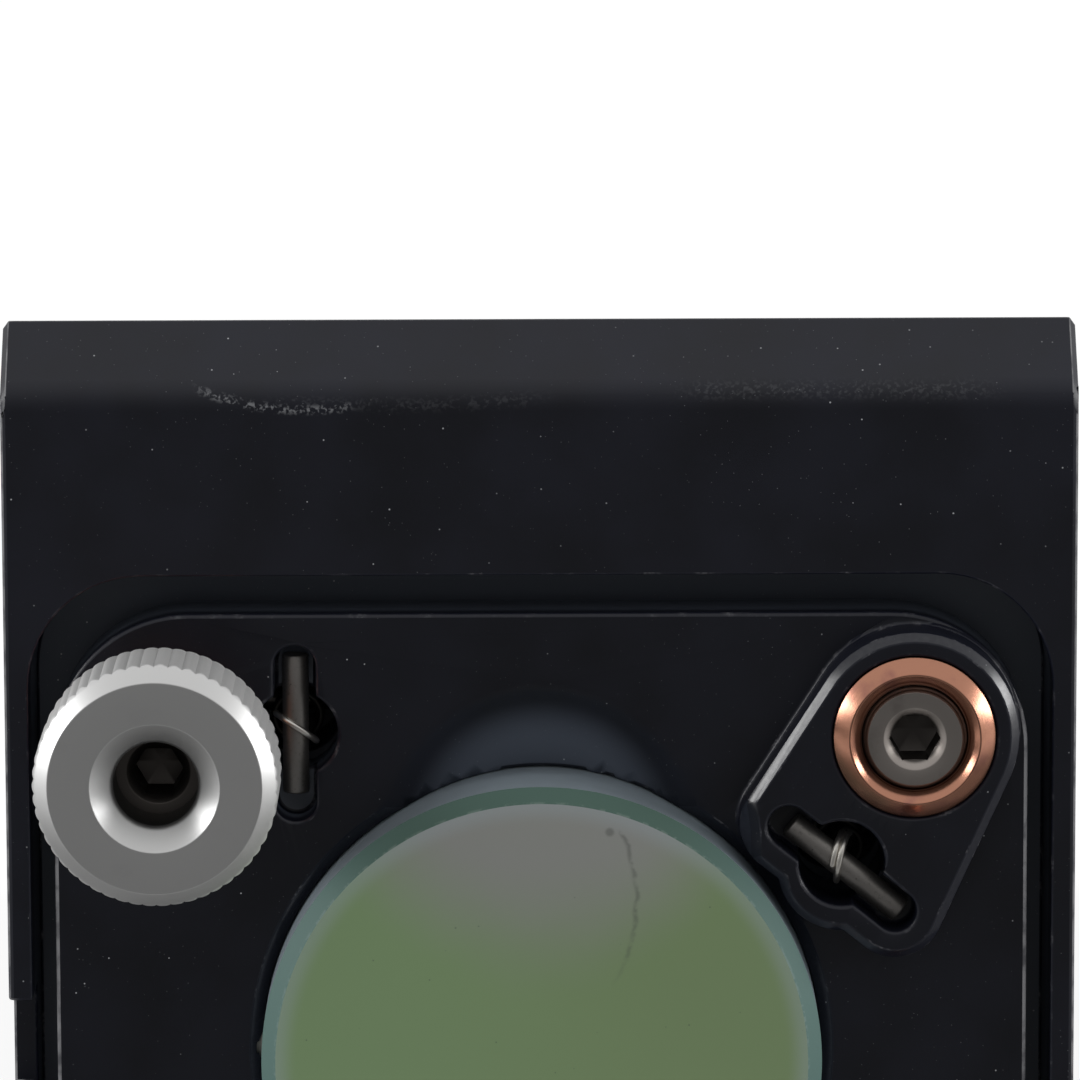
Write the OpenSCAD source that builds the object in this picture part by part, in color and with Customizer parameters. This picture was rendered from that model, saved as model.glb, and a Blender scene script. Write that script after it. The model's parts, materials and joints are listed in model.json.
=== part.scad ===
// Right-angle kinematic mirror mount for a 30 mm cage system, in millimetres.
// The housing stands on its lower port face (z = 0) and the mirror plate lies in the 45 degree face.
// Face frame: x is across, u runs up the slope, w is the slope's outward normal; u = w = 0 on the mirror.

/* [Housing] */
// Width across the two side faces
housing_w = 48.6; // [48:0.1:52]
// Side of the square section before its corner is cut off
housing_s = 47.0; // [46:0.5:50]
// Height of the 45 degree face above the mirror's reflecting surface
face_w = 3.0; // [2.5:0.1:3.4]
// Radius between the 45 degree face and the narrow faces beside it
face_edge_r = 2.0; // [1:0.1:3]
// Chamfer along the housing's outer edges
housing_edge = 0.25; // [0.2:0.05:0.8]

/* [Ports] */
// Radius of the threaded part of each port
port_r = 13.0; // [12.5:0.1:13.2]
// Depth of the threaded part of each port
port_depth = 5.0; // [4:0.5:6]
// Radius of the clear bore behind the thread
beam_r = 10.2; // [9.8:0.1:10.4]
// Side of the square on which the cage bolts stand
cage_pitch = 30; // [30:1:30]
// Radius of the tapped cage holes
cage_hole_r = 1.3; // [1.1:0.1:1.5]
// Depth of the tapped cage holes
cage_hole_depth = 5.0; // [4:0.5:6]
// Radius of the tapped post hole in each side face
post_hole_r = 2.05; // [1.6:0.05:2.5]
// Depth of the post holes
post_hole_depth = 7.0; // [5:0.5:9]

/* [Plate] */
// Width of the moving plate
plate_w = 44.2; // [43:0.1:44.4]
// Length of the moving plate up the slope
plate_l = 40.3; // [40:0.1:41]
// Thickness of the moving plate
plate_t = 3.6; // [3.4:0.1:3.8]
// Corner radius of the moving plate
plate_corner_r = 6.2; // [5:0.1:6.5]
// Gap beside the plate in its recess
side_gap = 1.1; // [0.9:0.05:1.1]
// Gap above and below the plate in its recess
end_gap = 1.75; // [1.2:0.05:2]
// Gap between the plate's back and the recess floor
back_gap = 2.5; // [2.4:0.1:2.6]
// Height of the raised boss round the pivot adjuster
boss_h = 2.4; // [1.5:0.1:3]
// Chamfer on the boss's upper edge
boss_edge = 0.4; // [0.2:0.05:0.6]

/* [Mirror] */
// Radius of the mirror
mirror_r = 12.7; // [12.7:0.1:12.7]
// Thickness of the mirror
mirror_t = 6.35; // [6:0.05:6.5]
// Bevel on the mirror's outer edge
mirror_bevel = 0.65; // [0.2:0.05:0.8]
// Radius of the clear opening under the mirror
aperture_r = 11.45; // [11:0.05:11.6]

/* [Adjusters] */
// Distance of the adjusters from the middle, across
adjuster_x = 16.85; // [16.5:0.05:17]
// Distance of the adjusters from the middle, along the slope
adjuster_u = 14.85; // [14.5:0.05:15]
// Radius of the adjuster screws
screw_r = 2.35; // [2.3:0.05:2.4]
// Outer radius of the bronze bushings
bushing_r = 3.7; // [3.5:0.05:3.8]
// Radius of the bushings where they pass through the plate
spigot_r = 3.1; // [2.9:0.05:3.2]
// Radius of the steel ball tips
ball_r = 1.6; // [1.4:0.1:1.6]
// Width across the flats of the hex sockets
hex_af = 2.0; // [1.5:0.1:2.2]
// Radius of the knobs over their knurl
knob_r = 5.4; // [5:0.05:5.6]
// Length of the knurled part of a knob
knob_l = 5.3; // [4:0.1:6]
// Height of a knob's outer end above the plate
knob_top = 13.5; // [12.5:0.1:14.5]
// Grooves round a knob
knob_grooves = 54; // [40:2:100]

/* [Springs] */
// Distance from an adjuster to its spring
spring_x = 5.72; // [5.6:0.02:5.8]
// Radius of the spring holes
spring_hole_r = 1.95; // [1.8:0.05:2]
// Outer radius of the springs
spring_r = 1.6; // [1.4:0.05:1.7]
// Radius of the spring wire
wire_r = 0.2; // [0.15:0.01:0.24]
// Length of the slots that hold the outer spring pins
slot_l = 8.1; // [7.5:0.1:8.4]
// Width of those slots
slot_w = 1.9; // [1.5:0.1:2]
// Radius of the outer spring pins
pin_r = 0.6; // [0.5:0.05:0.7]
// Length of the outer spring pins
pin_l = 6.4; // [5.5:0.1:7]

/* [Hidden] */
$fn = 64;
fine = 96;            // facets of the large bores
eps = 0.01;           // how far a cutter passes a face that it must not open further
over = 20;            // how far a cutter reaches out of an open face
root2 = sqrt(2);

anodised = [0.10, 0.10, 0.11];
anodised_plate = [0.13, 0.13, 0.14];
satin_aluminium = [0.72, 0.73, 0.73];
bronze = [0.72, 0.45, 0.30];
steel = [0.50, 0.50, 0.50];
spring_steel = [0.66, 0.65, 0.62];
glass = [0.55, 0.66, 0.58];
nylon = [0.90, 0.89, 0.84];

half_w = housing_w / 2;
half_s = housing_s / 2;
narrow = face_w * root2;              // length of the narrow faces beside the 45 degree face
recess_w = plate_w + 2 * side_gap;
recess_l = plate_l + 2 * end_gap;
recess_corner_r = plate_corner_r - 1.05;
plate_back = face_w - plate_t;
floor_w = plate_back - back_gap;
boss_top = face_w + boss_h;
boss_head_r = 4.75;                   // outline of the boss: round the bushing,
boss_foot_r = 2.2;                    // round both ends of the spring slot
boss_side_r = 2.9;                    // and round the spring hole
bushing_rim = 0.6;                    // the bushings end this far above the boss

post_hole_y = 9;                      // behind the middle of the side face
post_hole_z = 14.5;                   // above the lower port face
notch_half_u = 2.3;                   // hex key notch in the left wall
notch_floor_w = -0.4;

mirror_play = 0.05;
mirror_bore_r = mirror_r + mirror_play;
bore_lead = 0.55;                     // chamfer at the mouth of the mirror bore
aperture_flare = 0.4;                 // how far the opening widens towards the back
scallop_r = 7.25;                     // round relief above the mirror
scallop_u = 9.8;
scallop_depth = 2.2;
setscrew_r = 1.42;
setscrew_w = face_w - plate_t / 2;
setscrew_l = 6.0;
setscrew_x = -plate_w / 2 + 0.7;      // outer end of the mirror setscrew
setscrew_af = 1.27;
setscrew_hex_depth = 1.8;
tip_r = 0.9;
tip_sunk = 1.4;                       // length of the nylon tip inside the setscrew

ball_play = 0.03;
ball_w = floor_w + ball_r + 0.05;     // level of the three ball centres
seat_r = 2.5;
seat_sunk = 1.3;
seat_top = ball_w - 0.6;              // of the cone and vee seats
seat_mouth = ball_r * root2 - 0.6 + ball_play;
cup_w = ball_w + 0.9;                 // lower end of the adjuster screws
bush_play = 0.05;
fit = 0.01;                           // gap between parts pressed or screwed together
knob_front_w = face_w + knob_top;
knob_rear_w = knob_front_w - knob_l;
knob_hub_r = 3.4;
knob_hub_l = 1.3;
knob_chamfer = 0.7;
knob_groove = 0.14;
knob_break = 0.3;                     // broken edge at the rear of the knurl
knob_hole_r = 1.86;
knob_sink_r = 2.85;
knob_screw_depth = 3.8;               // from the knob's end down to the screw's end
screw_chamfer = 0.18;
hex_depth = 2.4;
hex_sink_r = hex_af / sqrt(3) + 0.25;
pivot_screw_h = 0.4;                  // the pivot screw ends this far above its boss

slot_depth = 1.9;
pin_aside_left = 0.27;                // how far the left outer pin lies off the middle of its slot
pin_aside_pivot = 0.25;
inner_pin_r = 0.5;
inner_pin_w = -5.6;
inner_pin_inset = 0.1;                // outer end of an inner pin, below the side face
spring_hole_floor = -6.7;
hook_r = 1.15;                        // middle of the wire
hook_play = 0.06;                     // between an outer pin and the hook over it
inner_pin_past = 1.7;                 // how far an inner pin passes its spring's axis
coil_pitch = 0.46;

pivot = [adjuster_x, adjuster_u];
left = [-adjuster_x, adjuster_u];
lower = [adjuster_x, -adjuster_u];
// Where the springs stand, how their slots run and how their outer hooks are turned
slot_at_pivot = [13.6, 8.8];
spring_at_pivot = slot_at_pivot + [0, 0.25];
spring_at_left = left + [spring_x, -0.2];
spring_at_lower = lower + [0, spring_x];
slot_turn_pivot = -39;
slot_turn_left = 90;
slot_turn_lower = 0;
hook_turn_pivot = 80;
hook_turn_left = -31;
hook_turn_lower = 121;

// Points along an arc, from angle a to angle b
function arc(c, r, a, b, n = 8) =
    [for (i = [0:n]) c + r * [cos(a + (b - a) * i / n), sin(a + (b - a) * i / n)]];

// Housing outline in (y, z), pulled in by d: a square whose front upper corner is cut at 45 degrees
function outline(d) =
    let (s = half_s - d, n = narrow - d * (2 - root2), t = face_edge_r * tan(22.5))
    concat(
        [[-s, -s], [s, -s], [s, s]],
        arc([s - n + t, s - face_edge_r], face_edge_r, 90, 135),
        arc([-s + face_edge_r, -s + n - t], face_edge_r, 135, 180));

// Everything drawn in the face frame
module on_face() {
    translate([0, 0, half_s]) rotate([45, 0, 0]) children();
}

// One end of the housing blank, w wide, pulled in by d
module slab(w, d) {
    translate([-w / 2, 0, half_s]) rotate([90, 0, 90]) linear_extrude(w) polygon(outline(d));
}

module rounded_rect(w, l, r) {
    square([w - 2 * r, l], center = true);
    square([w, l - 2 * r], center = true);
    for (x = [-1, 1], y = [-1, 1])
        translate([x * (w / 2 - r), y * (l / 2 - r)]) circle(r);
}

module bar(from, to, r) {
    translate([0, 0, from]) cylinder(h = to - from, r = r);
}

// A cutter for a 45 degree countersink of radius r at the given level
module countersink(top, r) {
    translate([0, 0, top - r]) cylinder(h = 2 * r, r1 = 0, r2 = 2 * r);
}

// The four cage holes of a port face, drilled inward along +z
module cage_holes() {
    for (x = [-1, 1], y = [-1, 1])
        translate([x * cage_pitch / 2, y * cage_pitch / 2, -eps])
            cylinder(h = cage_hole_depth + eps, r = cage_hole_r);
}

// A port on the face z = 0: threaded mouth, clear bore to the middle, cage holes
module port() {
    translate([0, 0, -eps]) cylinder(h = port_depth + eps, r = port_r, $fn = fine);
    cylinder(h = half_s + beam_r, r = beam_r, $fn = fine);
    cage_holes();
}

module slot(at, turn, top) {
    straight = slot_l - slot_w;
    translate([at[0], at[1], top - slot_depth]) rotate(turn) {
        translate([-straight / 2, -slot_w / 2, 0]) cube([straight, slot_w, over]);
        for (x = [-1, 1]) translate([x * straight / 2, 0, 0]) cylinder(h = over, r = slot_w / 2);
    }
}

// A seat's place in the recess floor
module seat_bar(at, top) {
    translate(at) bar(floor_w - seat_sunk, top, seat_r);
}

module inner_pin(at, side) {
    outer_end = half_w - inner_pin_inset;
    length = outer_end - side * at[0] + inner_pin_past;
    translate([side * outer_end, at[1], inner_pin_w])
        rotate([0, -side * 90, 0]) cylinder(h = length, r = inner_pin_r);
}

module housing() {
    color(anodised) difference() {
        hull() {
            slab(housing_w - 2 * housing_edge, 0);
            slab(housing_w, housing_edge);
        }
        port();
        translate([0, half_s, half_s]) rotate([90, 0, 0]) port();
        for (side = [-1, 1])
            translate([side * (half_w + eps), post_hole_y, post_hole_z]) rotate([0, -side * 90, 0])
                cylinder(h = post_hole_depth + eps, r = post_hole_r);
        on_face() {
            translate([0, 0, floor_w]) linear_extrude(over) rounded_rect(recess_w, recess_l, recess_corner_r);
            for (at = [pivot, left, lower]) seat_bar(at, floor_w + 1);
            for (at = [spring_at_pivot, spring_at_left, spring_at_lower])
                translate(at) bar(spring_hole_floor, floor_w + 1, spring_hole_r);
            inner_pin(spring_at_pivot, 1);
            inner_pin(spring_at_lower, 1);
            inner_pin(spring_at_left, -1);
            translate([-half_w - 1, -notch_half_u, notch_floor_w])
                cube([(housing_w - recess_w) / 2 + 2, 2 * notch_half_u, over]);
        }
    }
}

// A round button with a chamfered upper edge, from which the boss is hulled
module button(r) {
    rotate_extrude($fn = 48)
        polygon([[0, -1], [r, -1], [r, boss_h - boss_edge], [r - boss_edge, boss_h], [0, boss_h]]);
}

module boss() {
    slot_end = (slot_l - slot_w) / 2 * [cos(slot_turn_pivot), sin(slot_turn_pivot)];
    translate([0, 0, face_w]) {
        hull() {
            translate(pivot) button(boss_head_r);
            translate(slot_at_pivot + slot_end) button(boss_foot_r);
            translate(slot_at_pivot - slot_end) button(boss_foot_r);
        }
        translate(slot_at_pivot) button(boss_side_r);
    }
}

module kinematic_plate() {
    scallop_sphere_r = (scallop_r * scallop_r + scallop_depth * scallop_depth) / (2 * scallop_depth);
    color(anodised_plate) on_face() difference() {
        union() {
            translate([0, 0, plate_back]) linear_extrude(plate_t)
                rounded_rect(plate_w, plate_l, plate_corner_r);
            boss();
        }
        translate([0, scallop_u, face_w - scallop_depth + scallop_sphere_r])
            sphere(scallop_sphere_r, $fn = fine);
        bar(0, over, mirror_bore_r, $fn = fine);
        bar(plate_back - 1, 1, aperture_r, $fn = fine);
        translate([0, 0, plate_back - eps])
            cylinder(h = aperture_flare, r1 = aperture_r + aperture_flare, r2 = aperture_r, $fn = fine);
        translate([0, 0, face_w - bore_lead])
            cylinder(h = 2 * bore_lead, r1 = mirror_bore_r, r2 = mirror_bore_r + 2 * bore_lead, $fn = fine);
        for (at = [pivot, left, lower]) translate(at) {
            bar(plate_back - 1, over, spigot_r);
            bar(face_w, over, bushing_r);
        }
        for (at = [spring_at_pivot, spring_at_left, spring_at_lower])
            translate(at) bar(plate_back - 1, over, spring_hole_r);
        slot(slot_at_pivot, slot_turn_pivot, boss_top);
        slot(spring_at_left, slot_turn_left, face_w);
        slot(spring_at_lower, slot_turn_lower, face_w);
        translate([-plate_w / 2 - 1, 0, setscrew_w]) rotate([0, 90, 0])
            cylinder(h = plate_w / 2 - mirror_r + 2, r = setscrew_r + fit);
    }
}

module mirror_disc() {
    rear_bevel = 0.2;
    rotate_extrude($fn = fine)
        polygon([[0, 0], [mirror_r - rear_bevel, 0], [mirror_r, rear_bevel],
            [mirror_r, mirror_t - mirror_bevel], [mirror_r - mirror_bevel, mirror_t], [0, mirror_t]]);
}

module mirror_part() {
    color(glass) on_face() mirror_disc();
}

module hex_hole(depth, af) {
    translate([0, 0, -depth]) cylinder(h = depth + eps, r = af / sqrt(3), $fn = 6);
}

module mirror_setscrew() {
    color(steel) on_face() translate([setscrew_x, 0, setscrew_w]) rotate([0, -90, 0])
        translate([0, 0, -setscrew_l]) difference() {
            cylinder(h = setscrew_l, r = setscrew_r);
            translate([0, 0, setscrew_l]) hex_hole(setscrew_hex_depth, setscrew_af);
            translate([0, 0, -eps]) cylinder(h = tip_sunk + fit + eps, r = tip_r + fit);
        }
}

module mirror_setscrew_tip() {
    tip_start = setscrew_x + setscrew_l - tip_sunk;
    color(nylon) on_face() translate([tip_start, 0, setscrew_w]) rotate([0, 90, 0])
        cylinder(h = -mirror_r - fit - tip_start, r = tip_r);
}

// A bronze bushing from the plate's back up to the given level, coned outside and countersunk inside
module bushing(at, top) {
    cone_h = 0.66;
    crest = 0.04;                     // width of the flat between the two cones
    sink = 0.55;
    bore = screw_r + bush_play;
    r = bushing_r - fit;
    color(bronze) on_face() translate(at) rotate_extrude()
        polygon([[bore, plate_back], [spigot_r - fit, plate_back], [spigot_r - fit, face_w], [r, face_w],
            [r, top - cone_h], [bore + sink + crest, top], [bore + sink, top], [bore, top - sink]]);
}

// An adjuster screw whose end is at the given level, with a cup for its ball below and a hex socket above
module screw(at, top) {
    cup_r = ball_r * root2 - (cup_w - ball_w) + ball_play;
    color(steel) on_face() translate(at) difference() {
        rotate_extrude()
            polygon([[0, cup_w], [screw_r - screw_chamfer, cup_w], [screw_r, cup_w + screw_chamfer],
                [screw_r, top - screw_chamfer], [screw_r - screw_chamfer, top], [0, top]]);
        translate([0, 0, cup_w - eps]) cylinder(h = cup_r + eps, r1 = cup_r + eps, r2 = 0);
        translate([0, 0, top]) hex_hole(hex_depth, hex_af);
        countersink(top, hex_sink_r);
    }
}

module ball(at) {
    color(steel) on_face() translate([at[0], at[1], ball_w]) sphere(ball_r);
}

// Star-shaped section of the knurl
module knurl_section() {
    polygon([for (i = [0:2 * knob_grooves - 1])
        (knob_r - (i % 2) * knob_groove) * [cos(180 * i / knob_grooves), sin(180 * i / knob_grooves)]]);
}

module knob(at) {
    color(satin_aluminium) on_face() translate([at[0], at[1], knob_rear_w]) difference() {
        union() {
            intersection() {
                linear_extrude(knob_l) knurl_section();
                rotate_extrude()
                    polygon([[0, 0], [knob_r - knob_break, 0], [knob_r + eps, knob_break + eps],
                        [knob_r + eps, knob_l - knob_chamfer - eps],
                        [knob_r - knob_chamfer, knob_l], [0, knob_l]]);
            }
            translate([0, 0, -knob_hub_l]) cylinder(h = knob_hub_l + 1, r = knob_hub_r);
        }
        translate([0, 0, -knob_hub_l - 1])
            cylinder(h = knob_hub_l + 1 + knob_l - knob_screw_depth, r = screw_r + fit);
        cylinder(h = knob_l + 1, r = knob_hole_r);
        countersink(knob_l, knob_sink_r);
    }
}

// The pivot's ball sits in a cone, the left one in a vee along x and the lower one on a flat
module cone_seat() {
    color(steel) on_face() difference() {
        seat_bar(pivot, seat_top);
        translate(pivot) countersink(seat_top, seat_mouth);
    }
}

module vee_seat() {
    color(steel) on_face() difference() {
        seat_bar(left, seat_top);
        translate([left[0] - 2 * seat_r, left[1], seat_top - seat_mouth]) rotate([45, 0, 0])
            cube([4 * seat_r, 2 * seat_mouth, 2 * seat_mouth]);
    }
}

module flat_seat() {
    color(steel) on_face() seat_bar(lower, ball_w - ball_r - ball_play);
}

// A hook at the end of a spring: a ring of wire and the bar that joins it to the last turn
module hook(turn, w, up) {
    translate([0, 0, w]) rotate(turn) {
        rotate([90, 0, 0]) rotate_extrude($fn = 32) translate([hook_r, 0]) circle(wire_r, $fn = 16);
        translate([0, 0, -up * (hook_r + wire_r / 4)])
            cube([2 * spring_r - wire_r, 1.8 * wire_r, 1.8 * wire_r], center = true);
    }
}

// An extension spring from its outer pin down to its inner pin, as a tube with a ridge at each turn
module spring(at, hook_turn, top) {
    upper = top - slot_depth + 2 * pin_r + wire_r + hook_play - hook_r;
    deeper = inner_pin_w - inner_pin_r - wire_r + hook_r;
    coil_top = upper - hook_r;
    coil_foot = deeper + hook_r;
    turns = floor((coil_top - coil_foot) / coil_pitch);
    step = (coil_top - coil_foot) / turns;
    inner = spring_r - 2 * wire_r;
    color(spring_steel) on_face() translate(at) {
        rotate_extrude($fn = 32)
            polygon(concat([[inner, coil_foot]],
                [for (i = [0:turns - 1], e = [[-wire_r / 2, 0], [0, 0.25], [0, 0.75]])
                    [spring_r + e[0], coil_foot + (i + e[1]) * step]],
                [[spring_r - wire_r / 2, coil_top], [inner, coil_top]]));
        hook(hook_turn, upper, 1);
        hook(90, deeper, -1);
    }
}

// An outer pin in its slot, pushed aside along the slot
module outer_pin(at, aside, turn, top) {
    edge = 0.1;
    color(steel) on_face() translate([at[0], at[1], top - slot_depth + pin_r]) rotate(turn)
        translate([aside, 0, 0]) rotate([0, 90, 0]) rotate_extrude($fn = 32)
            polygon([[0, -pin_l / 2], [pin_r - edge, -pin_l / 2], [pin_r, -pin_l / 2 + edge],
                [pin_r, pin_l / 2 - edge], [pin_r - edge, pin_l / 2], [0, pin_l / 2]]);
}

housing();
kinematic_plate();
mirror_part();  // mirror
mirror_setscrew();
mirror_setscrew_tip();
bushing(left, boss_top + bushing_rim);  // bushing_left
bushing(lower, boss_top + bushing_rim);  // bushing_lower
bushing(pivot, boss_top + bushing_rim);  // bushing_pivot
screw(left, knob_front_w - knob_screw_depth);  // screw_left
screw(lower, knob_front_w - knob_screw_depth);  // screw_lower
screw(pivot, boss_top + pivot_screw_h);  // screw_pivot
ball(left);  // ball_left
ball(lower);  // ball_lower
ball(pivot);  // ball_pivot
knob(left);  // knob_left
knob(lower);  // knob_lower
vee_seat();
flat_seat();
cone_seat();
spring(spring_at_left, hook_turn_left, face_w);  // spring_left
spring(spring_at_lower, hook_turn_lower, face_w);  // spring_lower
spring(spring_at_pivot, hook_turn_pivot, boss_top);  // spring_pivot
outer_pin(spring_at_left, pin_aside_left, slot_turn_left, face_w);  // outer_pin_left
outer_pin(spring_at_lower, 0, slot_turn_lower, face_w);  // outer_pin_lower
outer_pin(slot_at_pivot, pin_aside_pivot, slot_turn_pivot, boss_top);  // outer_pin_pivot
color(steel) on_face() inner_pin(spring_at_left, -1);  // inner_pin_left
color(steel) on_face() inner_pin(spring_at_lower, 1);  // inner_pin_lower
color(steel) on_face() inner_pin(spring_at_pivot, 1);  // inner_pin_pivot
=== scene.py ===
"""Finish and setting of a right-angle kinematic mirror mount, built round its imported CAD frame.

The mount is a black block whose front upper corner is cut at 45 degrees. A plate that carries a round
mirror lies in that face. Two knobs tilt it against springs, round a third, fixed adjuster.
"""
import json
import logging
import math
from dataclasses import dataclass
from enum import Enum
from functools import reduce
from typing import Sequence

import bmesh
import bpy
import numpy as np
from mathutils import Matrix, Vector
from mathutils.kdtree import KDTree


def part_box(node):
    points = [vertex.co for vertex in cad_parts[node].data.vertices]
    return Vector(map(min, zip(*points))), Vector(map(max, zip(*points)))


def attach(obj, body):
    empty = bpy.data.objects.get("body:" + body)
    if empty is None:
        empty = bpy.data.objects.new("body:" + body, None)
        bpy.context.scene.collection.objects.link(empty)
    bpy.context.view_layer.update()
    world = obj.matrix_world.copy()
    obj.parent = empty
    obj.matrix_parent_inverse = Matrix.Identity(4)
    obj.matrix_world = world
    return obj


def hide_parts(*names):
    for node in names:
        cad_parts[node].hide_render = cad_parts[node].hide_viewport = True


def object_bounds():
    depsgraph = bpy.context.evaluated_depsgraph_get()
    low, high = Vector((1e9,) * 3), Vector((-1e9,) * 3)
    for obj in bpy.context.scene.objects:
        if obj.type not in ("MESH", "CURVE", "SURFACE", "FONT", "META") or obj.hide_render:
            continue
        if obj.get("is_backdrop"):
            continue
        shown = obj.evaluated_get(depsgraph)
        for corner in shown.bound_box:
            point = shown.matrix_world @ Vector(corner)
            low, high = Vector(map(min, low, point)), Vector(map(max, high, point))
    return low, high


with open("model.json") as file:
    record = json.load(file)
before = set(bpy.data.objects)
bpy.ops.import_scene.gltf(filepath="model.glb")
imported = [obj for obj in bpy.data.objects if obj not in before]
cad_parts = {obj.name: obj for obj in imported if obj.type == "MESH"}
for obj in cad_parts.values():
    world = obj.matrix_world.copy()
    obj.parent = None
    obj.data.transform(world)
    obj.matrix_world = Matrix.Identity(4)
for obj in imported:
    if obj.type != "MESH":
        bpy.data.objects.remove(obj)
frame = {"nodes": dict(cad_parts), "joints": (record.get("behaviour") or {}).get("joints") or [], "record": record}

LOG = logging.getLogger("mirror_mount")
MM = 0.001
TURN = 2 * math.pi
MERGE = 2e-7         # points of a new surface that are closer than this are one, in metres
CAD_MERGE = 1e-6     # the same in a copy of a CAD node
FLAT_DEG = 0.3       # faces of such a copy that differ by less are one plane
SHARP_DEG = 38.0     # its edges above this angle are broken,
SQUARE_DEG = 60.0    # and above this one to their full width
RUNS_ON_DEG = 120.0  # two sharp edges that meet at a wider angle run on as one
SMOOTH_DEG = 30.0    # faces of such a copy that differ by less are shaded as one
THREAD_ROWS = 8      # rows of points along one turn of a thread
SLEEVE_MM = 0.02     # how far the back of a thread's lining lies behind its root
Colour = tuple[float, float, float]
Material = bpy.types.Material
Socket = bpy.types.NodeSocket
Input = float | Colour | Socket


class Slot(Enum):
    """The record's material slots."""

    BLOCK = "black_anodised"
    PLATE = "black_anodised_plate"
    MIRROR = "mirror_glass"
    BRONZE = "bronze"
    ADJUSTER = "adjuster_steel"
    POLISHED = "polished_steel"
    SPRING = "spring_steel"
    PIN = "pin_steel"
    KNOB = "satin_aluminium"
    BLACK_STEEL = "black_steel"
    NYLON = "nylon"


class Adjuster(Enum):
    """The three corners at which the plate is held."""

    LEFT = "left"
    LOWER = "lower"
    PIVOT = "pivot"


# ---- The face frame ----


def node_points(node: str) -> np.ndarray:
    """Every vertex of a CAD node, in metres, as an array of rows."""
    vertices = frame["nodes"][node].data.vertices
    points = np.empty(len(vertices) * 3)
    vertices.foreach_get("co", points)
    return points.reshape(-1, 3)


def body_of(node: str) -> str:
    """The name of the CAD body that holds a node."""
    bodies = frame["record"]["behaviour"]["bodies"]
    return next(body for body, nodes in bodies.items() if node in nodes)


@dataclass(frozen=True)
class Face:
    """The frame of the 45 degree face, in millimetres: across it, up the slope, and out of it.

    Its origin is the middle of the mirror's reflecting face.
    """

    origin: np.ndarray
    axes: np.ndarray

    @classmethod
    def from_record(cls) -> "Face":
        """Reads the three directions from the joints, and the origin from the mirror disc."""
        joints = {joint["name"]: joint for joint in frame["joints"]}
        axes = np.array([joints[name]["axis"] for name in ("pitch", "yaw", "pivot_screw_turn")], float)
        low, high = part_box("mirror")
        middle = (np.array(low) + np.array(high)) / 2
        half_thickness = np.ptp(node_points("mirror") @ axes[2]) / 2
        return cls(middle - half_thickness * axes[2], axes)

    def place(self, local: np.ndarray) -> np.ndarray:
        """Turns face millimetres into metres of the shared frame.

        Args:
            local: points, the last axis being across, up and out.

        Returns:
            The same points in metres.
        """
        return self.origin + local @ self.axes * MM

    def extent(self, node: str) -> tuple[np.ndarray, np.ndarray]:
        """Lowest and highest reach of a CAD node along the three face directions, in millimetres."""
        local = (node_points(node) - self.origin) @ self.axes.T / MM
        return local.min(0), local.max(0)

    def middle(self, node: str) -> np.ndarray:
        """Middle of a CAD node, in face millimetres."""
        low, high = self.extent(node)
        return (low + high) / 2

    def half(self, node: str) -> np.ndarray:
        """Half the reach of a CAD node along the three face directions: its radius, across a round one."""
        low, high = self.extent(node)
        return (high - low) / 2


FACE = Face.from_record()


# ---- Surfaces ----


@dataclass
class Shell:
    """A surface as a grid of points. Its columns always close on themselves.

    Attributes:
        grid: points as rows by columns by 3.
        ring: whether the rows close on themselves too.
        finish: a material number for each band between two rows, or None for the first material.
    """

    grid: np.ndarray
    ring: bool = False
    finish: np.ndarray | None = None

    def faces(self, first: int) -> np.ndarray:
        """Four corner numbers for each cell of the grid, counted from the number first."""
        rows, columns = self.grid.shape[:2]
        row = np.arange(rows if self.ring else rows - 1)[:, None]
        column = np.arange(columns)[None, :]
        after = (row + 1) % rows
        beside = (column + 1) % columns
        corners = [row * columns + column, row * columns + beside,
                   after * columns + beside, after * columns + column]
        return first + np.stack(corners, -1).reshape(-1, 4)

    def numbers(self) -> np.ndarray:
        """The material number of each cell, in the order of faces()."""
        rows, columns = self.grid.shape[:2]
        bands = rows if self.ring else rows - 1
        finish = np.zeros(bands, int) if self.finish is None else self.finish[:bands]
        return np.repeat(finish, columns)


def angles(columns: int) -> np.ndarray:
    """Evenly spaced angles round a full turn."""
    return np.arange(columns) * TURN / columns


def turned(radius: np.ndarray, height: np.ndarray, columns: int) -> np.ndarray:
    """A surface of revolution whose radius and height may also change round the turn.

    Each point is (r cos a, r sin a, h), with a running round the columns.

    Args:
        radius: one radius a row, or rows by columns.
        height: one height a row, or rows by columns.
        columns: steps round the turn.

    Returns:
        The grid of points.
    """
    angle = angles(columns)[None, :]
    radius = radius[:, None] if radius.ndim == 1 else radius
    height = height[:, None] if height.ndim == 1 else height
    radius, height, angle = np.broadcast_arrays(radius, height, angle)
    return np.stack([radius * np.cos(angle), radius * np.sin(angle), height], -1)


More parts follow.
